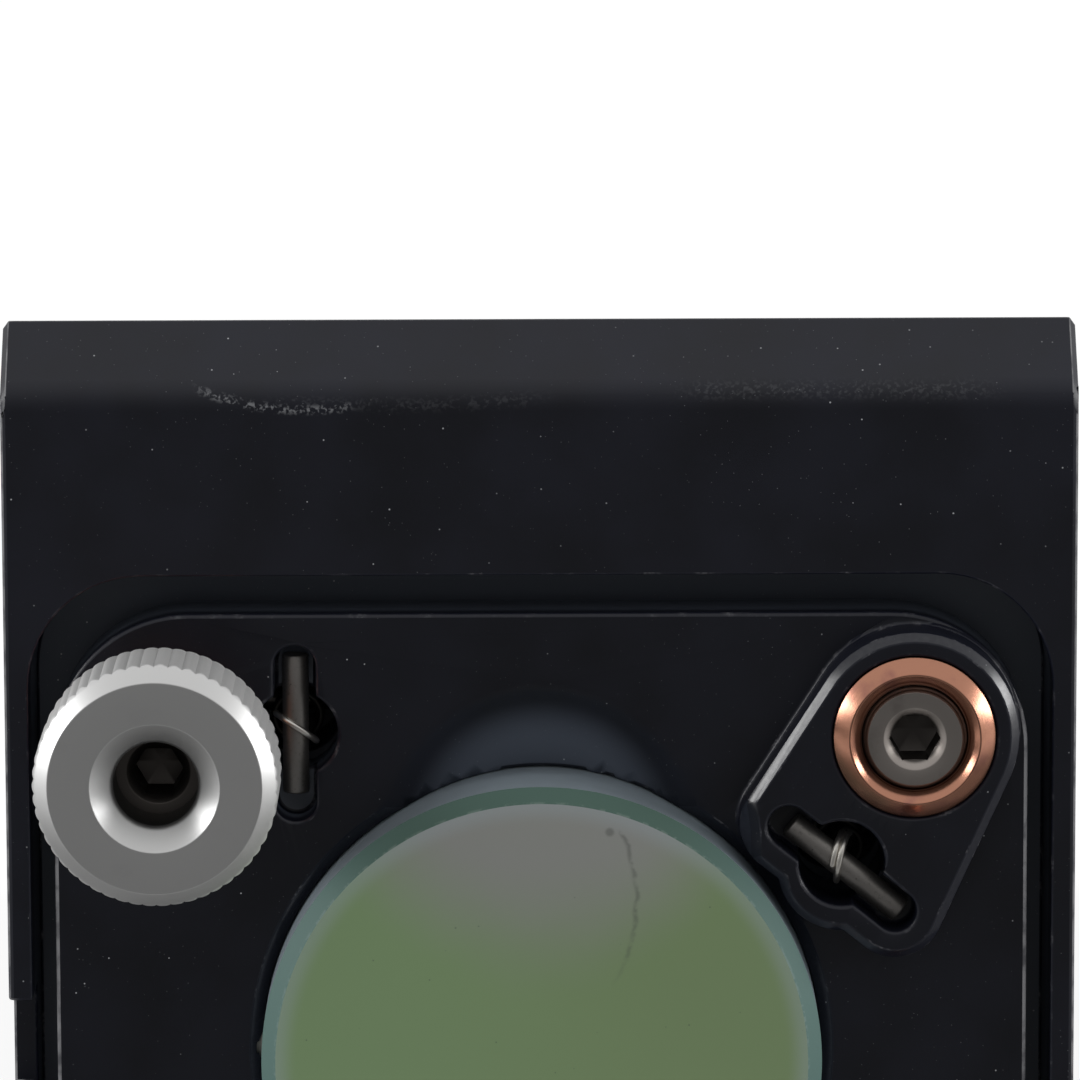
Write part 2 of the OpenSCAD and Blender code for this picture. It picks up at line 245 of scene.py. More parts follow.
def eased(corners: Sequence[tuple[float, float]], radii: Sequence[float], steps: int = 4) -> np.ndarray:
    """Rounds the corners of a closed outline.

    Each corner becomes the quadratic curve (1-t)^2 a + 2t(1-t) c + t^2 b, where c is the corner and
    a and b lie on its two sides, a radius away from it.

    Args:
        corners: the outline's corners in order.
        radii: how far from each corner its curve begins.
        steps: points on each curve.

    Returns:
        The rounded outline's points.
    """
    corner = np.array(corners, float)
    reach = np.array(radii, float)[:, None]

    def towards(other: np.ndarray) -> np.ndarray:
        """The point of each side at which its corner's curve begins."""
        side = other - corner
        length = np.maximum(np.linalg.norm(side, axis=1, keepdims=True), 1e-9)
        return corner + side / length * np.minimum(reach, 0.45 * length)

    before, after = towards(np.roll(corner, 1, 0)), towards(np.roll(corner, -1, 0))
    t = np.linspace(0, 1, steps)[None, :, None]
    curve = (1 - t) ** 2 * before[:, None] + 2 * t * (1 - t) * corner[:, None] + t**2 * after[:, None]
    return curve.reshape(-1, 2)


def thread_radius(height: np.ndarray, columns: int, root: float, crest: float, pitch: float) -> np.ndarray:
    """Radius of a helical thread over rows of height and columns of angle.

    The radius swings between root and crest as a triangle wave of height / pitch - angle / turn, so
    that the wave meets itself after one turn, and it fades to the root over the first and last pitch.

    Args:
        height: heights of the rows.
        columns: steps round the turn.
        root: radius at the bottom of the thread.
        crest: radius at its top, smaller than the root in a hole.
        pitch: distance between turns.

    Returns:
        The radii as rows by columns.
    """
    phase = height[:, None] / pitch - angles(columns)[None, :] / TURN
    wave = np.abs(2 * (phase - np.floor(phase)) - 1)
    flank = np.clip(1.3 * wave - 0.15, 0, 1)
    from_end = np.minimum(height - height.min(), height.max() - height)
    fade = np.clip(from_end / pitch, 0, 1)[:, None]
    return root + (crest - root) * flank * fade


def hexagon_radius(columns: int, across_flats: float) -> np.ndarray:
    """Distance of a hexagon's edge from its middle: half the width over flats / cos(angle off the flat)."""
    off_flat = np.mod(angles(columns), TURN / 6) - TURN / 12
    return across_flats / 2 / np.cos(off_flat)


def wire(path: np.ndarray, normal: np.ndarray, radius: float, sides: int) -> Shell:
    """A round wire along a path, closed at both ends.

    A ring of points p + r (n cos a + b sin a) stands at each point of the path, where n is the given
    normal made square to the path and b is the path's direction times n. Half rings of falling radius
    close the ends.

    Args:
        path: points along the middle of the wire.
        normal: a direction at each point, never along the path.
        radius: the wire's radius.
        sides: steps round the wire.

    Returns:
        The closed surface.
    """
    ahead = np.gradient(path, axis=0)
    ahead /= np.linalg.norm(ahead, axis=1, keepdims=True)
    n = normal - np.sum(normal * ahead, 1, keepdims=True) * ahead
    n /= np.linalg.norm(n, axis=1, keepdims=True)
    cap = np.linspace(0, 1, 5)[:-1] * math.pi / 2
    size = np.concatenate([radius * np.sin(cap), np.full(len(path), radius), radius * np.sin(cap)[::-1]])
    shift = radius * np.cos(cap)[:, None]
    middle = np.concatenate([path[0] - shift * ahead[0], path, path[-1] + shift[::-1] * ahead[-1]])
    ends = len(cap)
    n = np.concatenate([np.repeat(n[:1], ends, 0), n, np.repeat(n[-1:], ends, 0)])
    ahead = np.concatenate([np.repeat(ahead[:1], ends, 0), ahead, np.repeat(ahead[-1:], ends, 0)])
    b = np.cross(ahead, n)
    angle = angles(sides)[None, :, None]
    ring = n[:, None] * np.cos(angle) + b[:, None] * np.sin(angle)
    return Shell(middle[:, None] + size[:, None, None] * ring)


def standing(grid: np.ndarray, at: Sequence[float]) -> np.ndarray:
    """A grid whose axis is the face's outward direction, set over a place on the face, in metres."""
    return FACE.place(grid + np.array([at[0], at[1], 0.0]))


def threaded_sleeve(root: float, crest: float, pitch: float, depth: float, columns: int) -> Shell:
    """The thread of a tapped hole: a thin ring lying on the bore's wall, with its thread inside."""
    rows = int(depth / pitch * THREAD_ROWS) + 1
    height = np.linspace(0, depth, rows)
    inner = thread_radius(height, columns, root, crest, pitch)
    wall = np.full((2, columns), root + SLEEVE_MM)
    radius = np.vstack([inner, wall])
    heights = np.concatenate([height, [depth, 0.0]])
    return Shell(turned(radius, heights, columns), ring=True)


def drilled(shell: Shell, mouth: Sequence[float], inward: Sequence[float]) -> Shell:
    """Moves a hole's lining from the z axis to a mouth, in metres, so that it runs inward."""
    turn = Vector((0, 0, 1)).rotation_difference(Vector(inward)).to_matrix()
    grid = shell.grid @ np.array(turn).T * MM + np.array(mouth, float)
    return Shell(grid, shell.ring, shell.finish)


# ---- Pieces ----


def tidy_mesh(mesh: bpy.types.Mesh, crease_deg: float) -> None:
    """Merges doubled points, turns faces outwards and shades the mesh smooth up to an angle."""
    work = bmesh.new()
    work.from_mesh(mesh)
    bmesh.ops.remove_doubles(work, verts=work.verts, dist=MERGE)
    bmesh.ops.dissolve_degenerate(work, edges=work.edges, dist=MERGE)
    bmesh.ops.recalc_face_normals(work, faces=work.faces)
    work.to_mesh(mesh)
    work.free()
    mesh.shade_smooth()
    mesh.set_sharp_from_angle(angle=math.radians(crease_deg))


def add_piece(name: str, shells: Sequence[Shell], materials: Sequence[Material],
              crease_deg: float = 35.0) -> bpy.types.Object:
    """Makes one object of one or more shells.

    Args:
        name: the piece's name.
        shells: its surfaces, in metres.
        materials: its materials, in the order of the shells' finish numbers.
        crease_deg: angle between faces above which an edge stays sharp.

    Returns:
        The new object.
    """
    counts = np.cumsum([0] + [shell.grid.shape[0] * shell.grid.shape[1] for shell in shells])
    points = np.concatenate([shell.grid.reshape(-1, 3) for shell in shells])
    faces = np.concatenate([shell.faces(first) for shell, first in zip(shells, counts)])
    mesh = bpy.data.meshes.new(name)
    mesh.from_pydata(points.tolist(), [], faces.tolist())
    for material in materials:
        mesh.materials.append(material)
    mesh.polygons.foreach_set("material_index", np.concatenate([shell.numbers() for shell in shells]))
    tidy_mesh(mesh, crease_deg)
    piece = bpy.data.objects.new(name, mesh)
    bpy.context.scene.collection.objects.link(piece)
    return piece


def settle(piece: bpy.types.Object, slot: Slot, body: str, *nodes: str) -> None:
    """Lets a piece ride on a body, hides the CAD nodes it stands for and reports it."""
    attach(piece, body)
    if nodes:
        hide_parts(*nodes)
    LOG.info("%s on %s: %d faces", piece.name, body, len(piece.data.polygons))


def settle_for(node: str, name: str, shell: Shell, material: Material, crease_deg: float, slot: Slot) -> None:
    """Makes one shell into a piece that stands for a CAD node and rides on that node's body.

    Args:
        node: the CAD node.
        name: the piece's name.
        shell: its surface, in metres.
        material: its material.
        crease_deg: angle between faces above which an edge stays sharp.
        slot: its material slot; not used.
    """
    settle(add_piece(name, [shell], (material,), crease_deg), slot, body_of(node), node)


def dress_node(node: str, material: Material) -> None:
    """Gives a CAD node that keeps its shape a better material."""
    mesh_object = frame["nodes"][node]
    if not mesh_object.material_slots:
        mesh_object.data.materials.append(material)
    for slot in mesh_object.material_slots:
        slot.material = material
    LOG.info("%s keeps its CAD shape", node)


def weigh_edges(work: bmesh.types.BMesh, width: float) -> None:
    """Marks the edges to break: the sharp ones, apart from those beside a tight place.

    Places are tight where sharp edges meet otherwise than by running on and one is shorter than one and
    a half widths, and where a face beside an edge is narrower than the width. Edges within three widths
    of a tight place stay sharp. The edges of a chamfer are broken less than square ones.

    Args:
        work: the mesh; its edges get a bevel weight.
        width: width of the broken edges, in metres.
    """
    layer = work.edges.layers.float.new("bevel_weight_edge")
    sharp = {edge for edge in work.edges if edge.calc_face_angle(0.0) > math.radians(SHARP_DEG)}
    middle = {edge: (edge.verts[0].co + edge.verts[1].co) / 2 for edge in sharp}
    tight = [middle[edge] for edge in sharp
             if min(face.calc_area() for face in edge.link_faces) < 0.6 * width * edge.calc_length()]
    for vertex in work.verts:
        ends = [edge for edge in vertex.link_edges if edge in sharp]
        arms = [edge.other_vert(vertex).co - vertex.co for edge in ends]
        if len(arms) == 2 and arms[0].angle(arms[1], 0.0) > math.radians(RUNS_ON_DEG):
            continue
        if any(arm.length < 1.5 * width for arm in arms):
            tight.append(vertex.co.copy())
    places = KDTree(len(tight))
    for number, place in enumerate(tight):
        places.insert(place, number)
    places.balance()
    for edge in sharp:
        weight = 1.0 if edge.calc_face_angle() > math.radians(SQUARE_DEG) else 0.3
        distance = places.find(middle[edge])[2]
        edge[layer] = weight if distance is None or distance > 3 * width else 0.0


def machined_copy(node: str, name: str, edge_mm: float,
                  materials: Sequence[Material]) -> bpy.types.Object:
    """A copy of a CAD node with its triangles joined up and its sharp edges broken.

    Large faces are cut into triangles again before their edges are broken, because a face with hundreds
    of corners would fold over itself there. Normals weighted by area then keep the planes flat.

    Args:
        node: the CAD node.
        name: the new piece's name.
        edge_mm: width of the broken edges.
        materials: the faces' material, the broken edges' one and that of chamfers on the sloping face.

    Returns:
        The new object, not yet settled on a body.
    """
    mesh = frame["nodes"][node].data.copy()
    mesh.name = name
    mesh.materials.clear()
    for material in materials:
        mesh.materials.append(material)
    work = bmesh.new()
    work.from_mesh(mesh)
    bmesh.ops.remove_doubles(work, verts=work.verts, dist=CAD_MERGE)
    bmesh.ops.dissolve_degenerate(work, edges=work.edges, dist=CAD_MERGE)
    bmesh.ops.dissolve_limit(work, angle_limit=math.radians(FLAT_DEG), verts=work.verts, edges=work.edges)
    weigh_edges(work, edge_mm * MM)
    bmesh.ops.triangulate(work, faces=[face for face in work.faces if len(face.verts) > 4])
    work.to_mesh(mesh)
    work.free()
    mesh.shade_smooth()
    mesh.set_sharp_from_angle(angle=math.radians(SMOOTH_DEG))
    normals = np.empty(3 * len(mesh.polygons))
    mesh.polygons.foreach_get("normal", normals)
    tilt = normals.reshape(-1, 3) @ FACE.axes[2]
    chamfered = np.abs(tilt - math.sqrt(0.5)) < 0.03
    mesh.polygons.foreach_set("material_index", np.where(chamfered, 2, 0))
    piece = bpy.data.objects.new(name, mesh)
    bpy.context.scene.collection.objects.link(piece)
    bevel = piece.modifiers.new("broken_edges", "BEVEL")
    bevel.width = edge_mm * MM
    bevel.segments = 2
    bevel.limit_method = "WEIGHT"
    bevel.use_clamp_overlap = False
    bevel.loop_slide = False
    bevel.material = 1
    even = piece.modifiers.new("flat_faces", "WEIGHTED_NORMAL")
    even.keep_sharp = True
    even.weight = 100
    return piece


# ---- Materials ----


def scaled(colour: Colour, factor: float) -> Colour:
    """A colour made darker or lighter."""
    return tuple(factor * part for part in colour)


class Board:
    """Lays out one tree of shader nodes. Most methods add a node and give its output."""

    def __init__(self, tree: bpy.types.NodeTree) -> None:
        """Starts with an empty tree."""
        self.tree = tree
        tree.nodes.clear()

    def add(self, kind: str) -> bpy.types.Node:
        """Adds a node of a kind."""
        return self.tree.nodes.new(f"ShaderNode{kind}")

    def feed(self, socket: Socket, value: Input) -> None:
        """Links a socket to another one, or sets its value."""
        if isinstance(value, Socket):
            self.tree.links.new(value, socket)
        elif isinstance(value, tuple) and socket.type == "RGBA":
            socket.default_value = (*value, 1.0)
        else:
            socket.default_value = value

    def number(self, operation: str, *values: Input) -> Socket:
        """The result of a Math node."""
        node = self.add("Math")
        node.operation = operation
        for socket, value in zip(node.inputs, values):
            self.feed(socket, value)
        return node.outputs[0]

    def plus(self, first: Input, second: Input) -> Socket:
        """The sum of two numbers."""
        return self.number("ADD", first, second)

    def minus(self, first: Input, second: Input) -> Socket:
        """A number less another."""
        return self.number("SUBTRACT", first, second)

    def times(self, *values: Input) -> Socket:
        """The product of two or more numbers."""
        return reduce(lambda first, second: self.number("MULTIPLY", first, second), values)

    def most(self, *values: Input) -> Socket:
        """The greatest of two or more numbers."""
        return reduce(lambda first, second: self.number("MAXIMUM", first, second), values)

    def size(self, value: Input) -> Socket:
        """A number without its sign."""
        return self.number("ABSOLUTE", value)

    def distance(self, vector: Socket, centre: Colour) -> Socket:
        """How far a vector is from a fixed point."""
        node = self.add("VectorMath")
        node.operation = "DISTANCE"
        self.feed(node.inputs[0], vector)
        node.inputs[1].default_value = centre
        return node.outputs["Value"]

    def split(self, vector: Socket) -> list[Socket]:
        """The three numbers of a vector."""
        node = self.add("SeparateXYZ")
        self.feed(node.inputs[0], vector)
        return list(node.outputs)

    def band(self, value: Input, low: float, high: float, to_low: Input = 0.0,
             to_high: Input = 1.0) -> Socket:
        """Maps low..high smoothly onto to_low..to_high, flat outside that range."""
        node = self.add("MapRange")
        node.interpolation_type = "SMOOTHSTEP"
        for socket, number in zip(node.inputs, (value, low, high, to_low, to_high)):
            self.feed(socket, number)
        return node.outputs[0]

    def between(self, factor: Input, first: Input, second: Input) -> Socket:
        """A number between two others."""
        node = self.add("Mix")
        for place, value in zip((0, 2, 3), (factor, first, second)):
            self.feed(node.inputs[place], value)
        return node.outputs[0]

    def blend(self, factor: Input, first: Input, second: Input) -> Socket:
        """A colour between two others."""
        node = self.add("Mix")
        node.data_type = "RGBA"
        for place, value in zip((0, 6, 7), (factor, first, second)):
            self.feed(node.inputs[place], value)
        return node.outputs[2]

    def ray(self, kind: str) -> Socket:
        """1 for rays of a kind, and 0 for the rest."""
        return self.add("LightPath").outputs[f"Is {kind} Ray"]

    def direct_rays(self) -> Socket:
        """1 for camera, glossy and transmission rays, and 0 for the rest."""
        return self.most(self.ray("Camera"), self.ray("Glossy"), self.ray("Transmission"))


class Surface(Board):
    """The nodes of one material. Every pattern reads a point in face millimetres, from Object coordinates."""

    def __init__(self, name: str, at: Sequence[float] = (0.0, 0.0)) -> None:
        """Starts a material whose patterns are centred on a place on the face.

        Args:
            name: the material's name.
            at: the place, across and up the slope, in millimetres.
        """
        self.material = bpy.data.materials.new(name)
        self.material.use_nodes = True
        super().__init__(self.material.node_tree)
        self.shader = self.add("BsdfPrincipled")
        self.feed(self.add("OutputMaterial").inputs["Surface"], self.shader.outputs["BSDF"])
        mapping = self.add("Mapping")
        self.feed(mapping.inputs["Vector"], self.add("TexCoord").outputs["Object"])
        mapping.inputs["Scale"].default_value = (1 / MM,) * 3
        mapping.inputs["Rotation"].default_value = (-math.pi / 4, 0.0, 0.0)
        mapping.inputs["Location"].default_value = -FACE.axes @ FACE.origin / MM - np.array([*at, 0.0])
        self.point = mapping.outputs["Vector"]

    def parts(self) -> list[Socket]:
        """How far the point lies across, up and out."""
        return self.split(self.point)

    def noise(self, per_mm: float, detail: float = 2.0, vector: Socket | None = None,
              distortion: float = 0.0) -> Socket:
        """A soft noise around 0.5 with so many swings a millimetre."""
        node = self.add("TexNoise")
        self.feed(node.inputs["Vector"], vector or self.point)
        node.inputs["Scale"].default_value = per_mm
        node.inputs["Detail"].default_value = detail
        node.inputs["Distortion"].default_value = distortion
        return node.outputs["Fac"]

    def specks(self, per_mm: float, radius_mm: float) -> Socket:
        """A mask of scattered specks: 1 inside a small ball round one point in each cell."""
        node = self.add("TexVoronoi")
        self.feed(node.inputs["Vector"], self.point)
        node.inputs["Scale"].default_value = per_mm
        size = radius_mm * per_mm
        return self.band(node.outputs["Distance"], size, size * 0.55)

    def spot(self, centre: Colour, radius: float) -> Socket:
        """A mask that is 1 near a point in face millimetres and falls to 0 a radius away."""
        return self.band(self.distance(self.point, centre), radius, radius * 0.4)

    def radius(self) -> Socket:
        """Distance from the axis through the surface's place, in millimetres."""
        across, up, _ = self.parts()
        return self.number("SQRT", self.plus(self.times(across, across), self.times(up, up)))

    def bump(self, height: Socket, depth_mm: float, strength: float = 1.0) -> Socket:
        """A normal bent by a height of 0 to 1 that stands for so many millimetres."""
        node = self.add("Bump")
        node.inputs["Strength"].default_value = strength
        node.inputs["Distance"].default_value = depth_mm * MM
        self.feed(node.inputs["Height"], height)
        return node.outputs["Normal"]

    def done(self, **sockets: Input) -> Material:
        """Feeds the shader, by socket name with _ for a space, and gives back the material."""
        for name, value in sockets.items():
            self.feed(self.shader.inputs[name.replace("_", " ")], value)
        return self.material


@dataclass(frozen=True)
class Scuff:
    """A rubbed streak across the face, in face millimetres.

    Attributes:
        across: the middle of the streak.
        reach: half its length.
        up: its height up the face where it is lowest.
        lowest: where across the face that is.
        bend: how fast it curves up from there.
        half_width: half its width.
        strength: how far it hides the black.
    """

    across: float
    reach: float
    up: float
    lowest: float
    bend: float
    half_width: float
    strength: float


@dataclass(frozen=True)
class BlackAnodised:
    """Black anodised aluminium with dust, a few scuffs, and edges worn towards bare metal.

    Attributes:
        colour: the clean surface.
        recess_painted_light: painted light, a paler colour down in the recess that lifts its shade.
        painted_light_region: half width, half height and level of the region that gets this painted light.
        roughness: its roughness.
        dust: the colour of dust and lint.
        speck_mm: radius of the larger specks.
        paler_edges_from: distance across, from the middle, beyond which edges are paler, in streaks.
        scuffs: rubbed streaks.
        chips: small bright nicks, as face points with a radius.
        reflectance: the shader's specular level.
    """

    colour: Colour = (0.0042, 0.0049, 0.0100)
    recess_painted_light: Colour = (0.072, 0.084, 0.110)
    painted_light_region: Colour = (23.3, 22.1, 1.9)
    roughness: float = 0.40
    dust: Colour = (0.42, 0.43, 0.45)
    speck_mm: float = 0.050
    paler_edges_from: float = 24.0
    scuffs: tuple[Scuff, ...] = ()
    chips: tuple[tuple[Colour, float], ...] = ()
    reflectance: float = 0.40

    def dusty(self, board: Surface) -> Socket:
        """A mask of dust: sparse larger specks and many faint fine ones, thicker in patches."""
        patch = board.band(board.noise(0.12, 3.0), 0.40, 0.62, 0.35, 1.0)
        large = board.times(board.specks(1.0, self.speck_mm), patch)
        return board.most(large, board.times(board.specks(3.1, self.speck_mm * 0.45), 0.45, patch))

    def rubbed(self, board: Surface, mask: Socket) -> Socket:
        """Adds scuffs and chips to a mask: each streak follows a parabola and is broken up by noise."""
        across, up, _ = board.parts()
        grit = board.band(board.noise(5.5, 4.0, distortion=0.4), 0.47, 0.64)
        for scuff in self.scuffs:
            along = board.size(board.minus(across, scuff.across))
            aside = board.minus(across, scuff.lowest)
            curve = board.times(aside, aside, scuff.bend)
            off = board.size(board.minus(board.minus(up, scuff.up), curve))
            line = board.band(off, scuff.half_width, 0.0, 0.0, scuff.strength)
            ends = board.band(along, scuff.reach, 0.7 * scuff.reach)
            mask = board.most(mask, board.times(line, ends, grit))
        for centre, radius in self.chips:
            mask = board.most(mask, board.spot(centre, radius))
        return mask

    def face(self, name: str) -> Material:
        """The material of the flat and bored surfaces."""
        board = Surface(name)
        across, up, out = board.parts()
        cloud = board.noise(0.18, 4.0)
        grain = board.noise(9.0, 3.0)
        clean = board.blend(board.band(cloud, 0.3, 0.7), self.colour, scaled(self.colour, 1.7))
        # Painted light: within the recess region the colour is lifted to a paler one, which lightens its shade.
        half_across, half_up, level = self.painted_light_region
        beside = board.band(board.size(across), half_across, half_across - 0.1)
        below = board.band(board.size(up), half_up, half_up - 0.1)
        inside = board.times(beside, below, board.band(out, level, level - 1.0), board.band(out, -9.0, -7.0))
        clean = board.blend(inside, clean, self.recess_painted_light)
        mask = self.rubbed(board, self.dusty(board))
        roughness = board.plus(board.times(cloud, 0.10), self.roughness - 0.05)
        return board.done(
            Base_Color=board.blend(mask, clean, self.dust),
            Roughness=board.most(roughness, board.times(mask, 0.9)),
            Normal=board.bump(grain, 0.006, 0.35),
            Specular_IOR_Level=self.reflectance,
        )

    def chamfer(self, name: str) -> Material:
        """The material of chamfers, which the cutter has left smoother than the faces."""
        board = Surface(name)
        grit = board.band(board.noise(4.0, 4.0), 0.35, 0.7, 0.85, 1.0)
        return board.done(
            Base_Color=board.blend(self.dusty(board), scaled(self.colour, 1.8), self.dust),
            Roughness=0.28,
            Specular_IOR_Level=board.times(grit, 1.7 * self.reflectance),
            Normal=board.bump(board.noise(9.0, 3.0), 0.002, 0.35),
        )

    def edge(self, name: str) -> Material:
        """The material of broken edges, where handling has thinned the black, and which turn paler in streaks
        towards both sides.
        """
        board = Surface(name)
        across, _, _ = board.parts()
        streaks = board.noise(0.9, 5.0)
        # Edges far out to both sides turn paler, in streaks.
        paler_edge = board.band(board.size(across), self.paler_edges_from - 0.2, self.paler_edges_from, 0.0, 1.0)
        paler_edge = board.times(paler_edge, board.band(streaks, 0.30, 0.60, 0.25, 1.0))
        worn = board.times(board.band(streaks, 0.52, 0.72), board.band(board.noise(6.0, 3.0), 0.35, 0.65))
        thin = board.blend(worn, scaled(self.colour, 1.8), (0.10, 0.10, 0.11))
        return board.done(
            Base_Color=board.blend(paler_edge, thin, (0.20, 0.20, 0.21)),
            Roughness=self.roughness,
            Specular_IOR_Level=self.reflectance,
        )


@dataclass(frozen=True)
class TurnedMetal:
    """Bare or clear-coated metal with fine turning marks round an axis.

    Attributes:
        colour: the metal.
        stain: the colour of its darker patches.
        roughness: its roughness.
        marks_per_mm: turning marks along a radius.
        mark_mm: depth of the marks.
        stained: how far the patches spread, from 0 to 1.
        bore_shade: how much of its brightness it keeps down a bore or socket: painted shade there.
    """

    colour: Colour
    stain: Colour
    roughness: float
    marks_per_mm: float = 9.0
    mark_mm: float = 0.0015
    stained: float = 0.4
    bore_shade: float = 0.22

    def material(self, name: str, at: Sequence[float], bore: tuple[float, float] = (0.0, 0.0),
                 rolled: float = 100.0) -> Material:
        """Builds the material.

        Args:
            name: its name.
            at: the place on the face round which the turning marks run.
            bore: radius and level; within the radius and below the level the metal is darkened as painted shade.
            rolled: radius beyond which the metal has been rolled rough and scatters light.

        Returns:
            The material.
        """
        board = Surface(name, at)
        radius = board.radius()
        ring = board.add("CombineXYZ")
        board.feed(ring.inputs[0], radius)
        marks = board.noise(self.marks_per_mm, 2.0, ring.outputs[0])
        patch = board.band(board.noise(0.7, 4.0), 0.62 - 0.2 * self.stained, 0.75)
        grain = board.noise(14.0, 2.0)
        height = board.plus(board.times(marks, 0.7), board.times(grain, 0.3))
        shade = board.blend(board.times(patch, self.stained), self.colour, self.stain)
        reach, level = bore
        # Painted shade: down the bore the metal is darkened.
        if reach:
            sunk = board.band(board.parts()[2], level, level - 0.15)
            inside = board.times(board.band(radius, reach, reach - 0.02), sunk)
            shade = board.blend(inside, shade, scaled(self.colour, self.bore_shade))
        rough = board.band(radius, rolled, rolled + 0.06)
        return board.done(
            Base_Color=shade,
            Metallic=board.minus(1.0, board.times(rough, 0.5)),
            Roughness=board.plus(board.times(grain, 0.10), self.roughness - 0.05),
            Normal=board.bump(height, self.mark_mm),
        )


@dataclass(frozen=True)
class GroundMetal:
    """Ground or drawn steel: wire, pins, balls and seats, with fine streaks."""

    colour: Colour
    roughness: float
    streak: Colour = (1.0, 1.0, 1.0)

    def material(self, name: str, floor: float = -100.0) -> Material:
        """The material, streaked along the directions that the streak scale leaves long.

        Args:
            name: its name.
            floor: level below which the metal is darkened, painted shade down in its hole.

        Returns:
            The material.
        """
        board = Surface(name)
        stretched = board.add("Mapping")
        board.feed(stretched.inputs["Vector"], board.point)
        stretched.inputs["Scale"].default_value = self.streak
        streaks = board.noise(6.0, 3.0, stretched.outputs["Vector"])
        spots = board.specks(2.2, 0.05)
        mask = board.most(board.band(streaks, 0.55, 0.8, 0.0, 0.7), spots)
        shade = board.blend(mask, self.colour, scaled(self.colour, 0.55))
        # Painted shade: below the floor level the metal is darkened.
        sunk = board.band(board.parts()[2], floor, floor - 0.5)
        return board.done(
            Base_Color=board.blend(sunk, shade, scaled(self.colour, 0.12)),
            Metallic=1.0,
            Roughness=board.plus(board.times(streaks, 0.15), self.roughness - 0.07),
            Normal=board.bump(streaks, 0.002),
        )


@dataclass(frozen=True)
class Plastic:
    """Plain moulded or coated surface with a little unevenness."""

    colour: Colour
    roughness: float
    metallic: float = 0.0

    def material(self, name: str) -> Material:
        """The material."""
        board = Surface(name)
        cloud = board.noise(1.6, 4.0)
        return board.done(
            Base_Color=board.blend(cloud, self.colour, scaled(self.colour, 0.8)),
            Metallic=self.metallic,
            Roughness=board.plus(board.times(cloud, 0.12), self.roughness - 0.06),
            Normal=board.bump(board.noise(5.0), 0.003),
        )


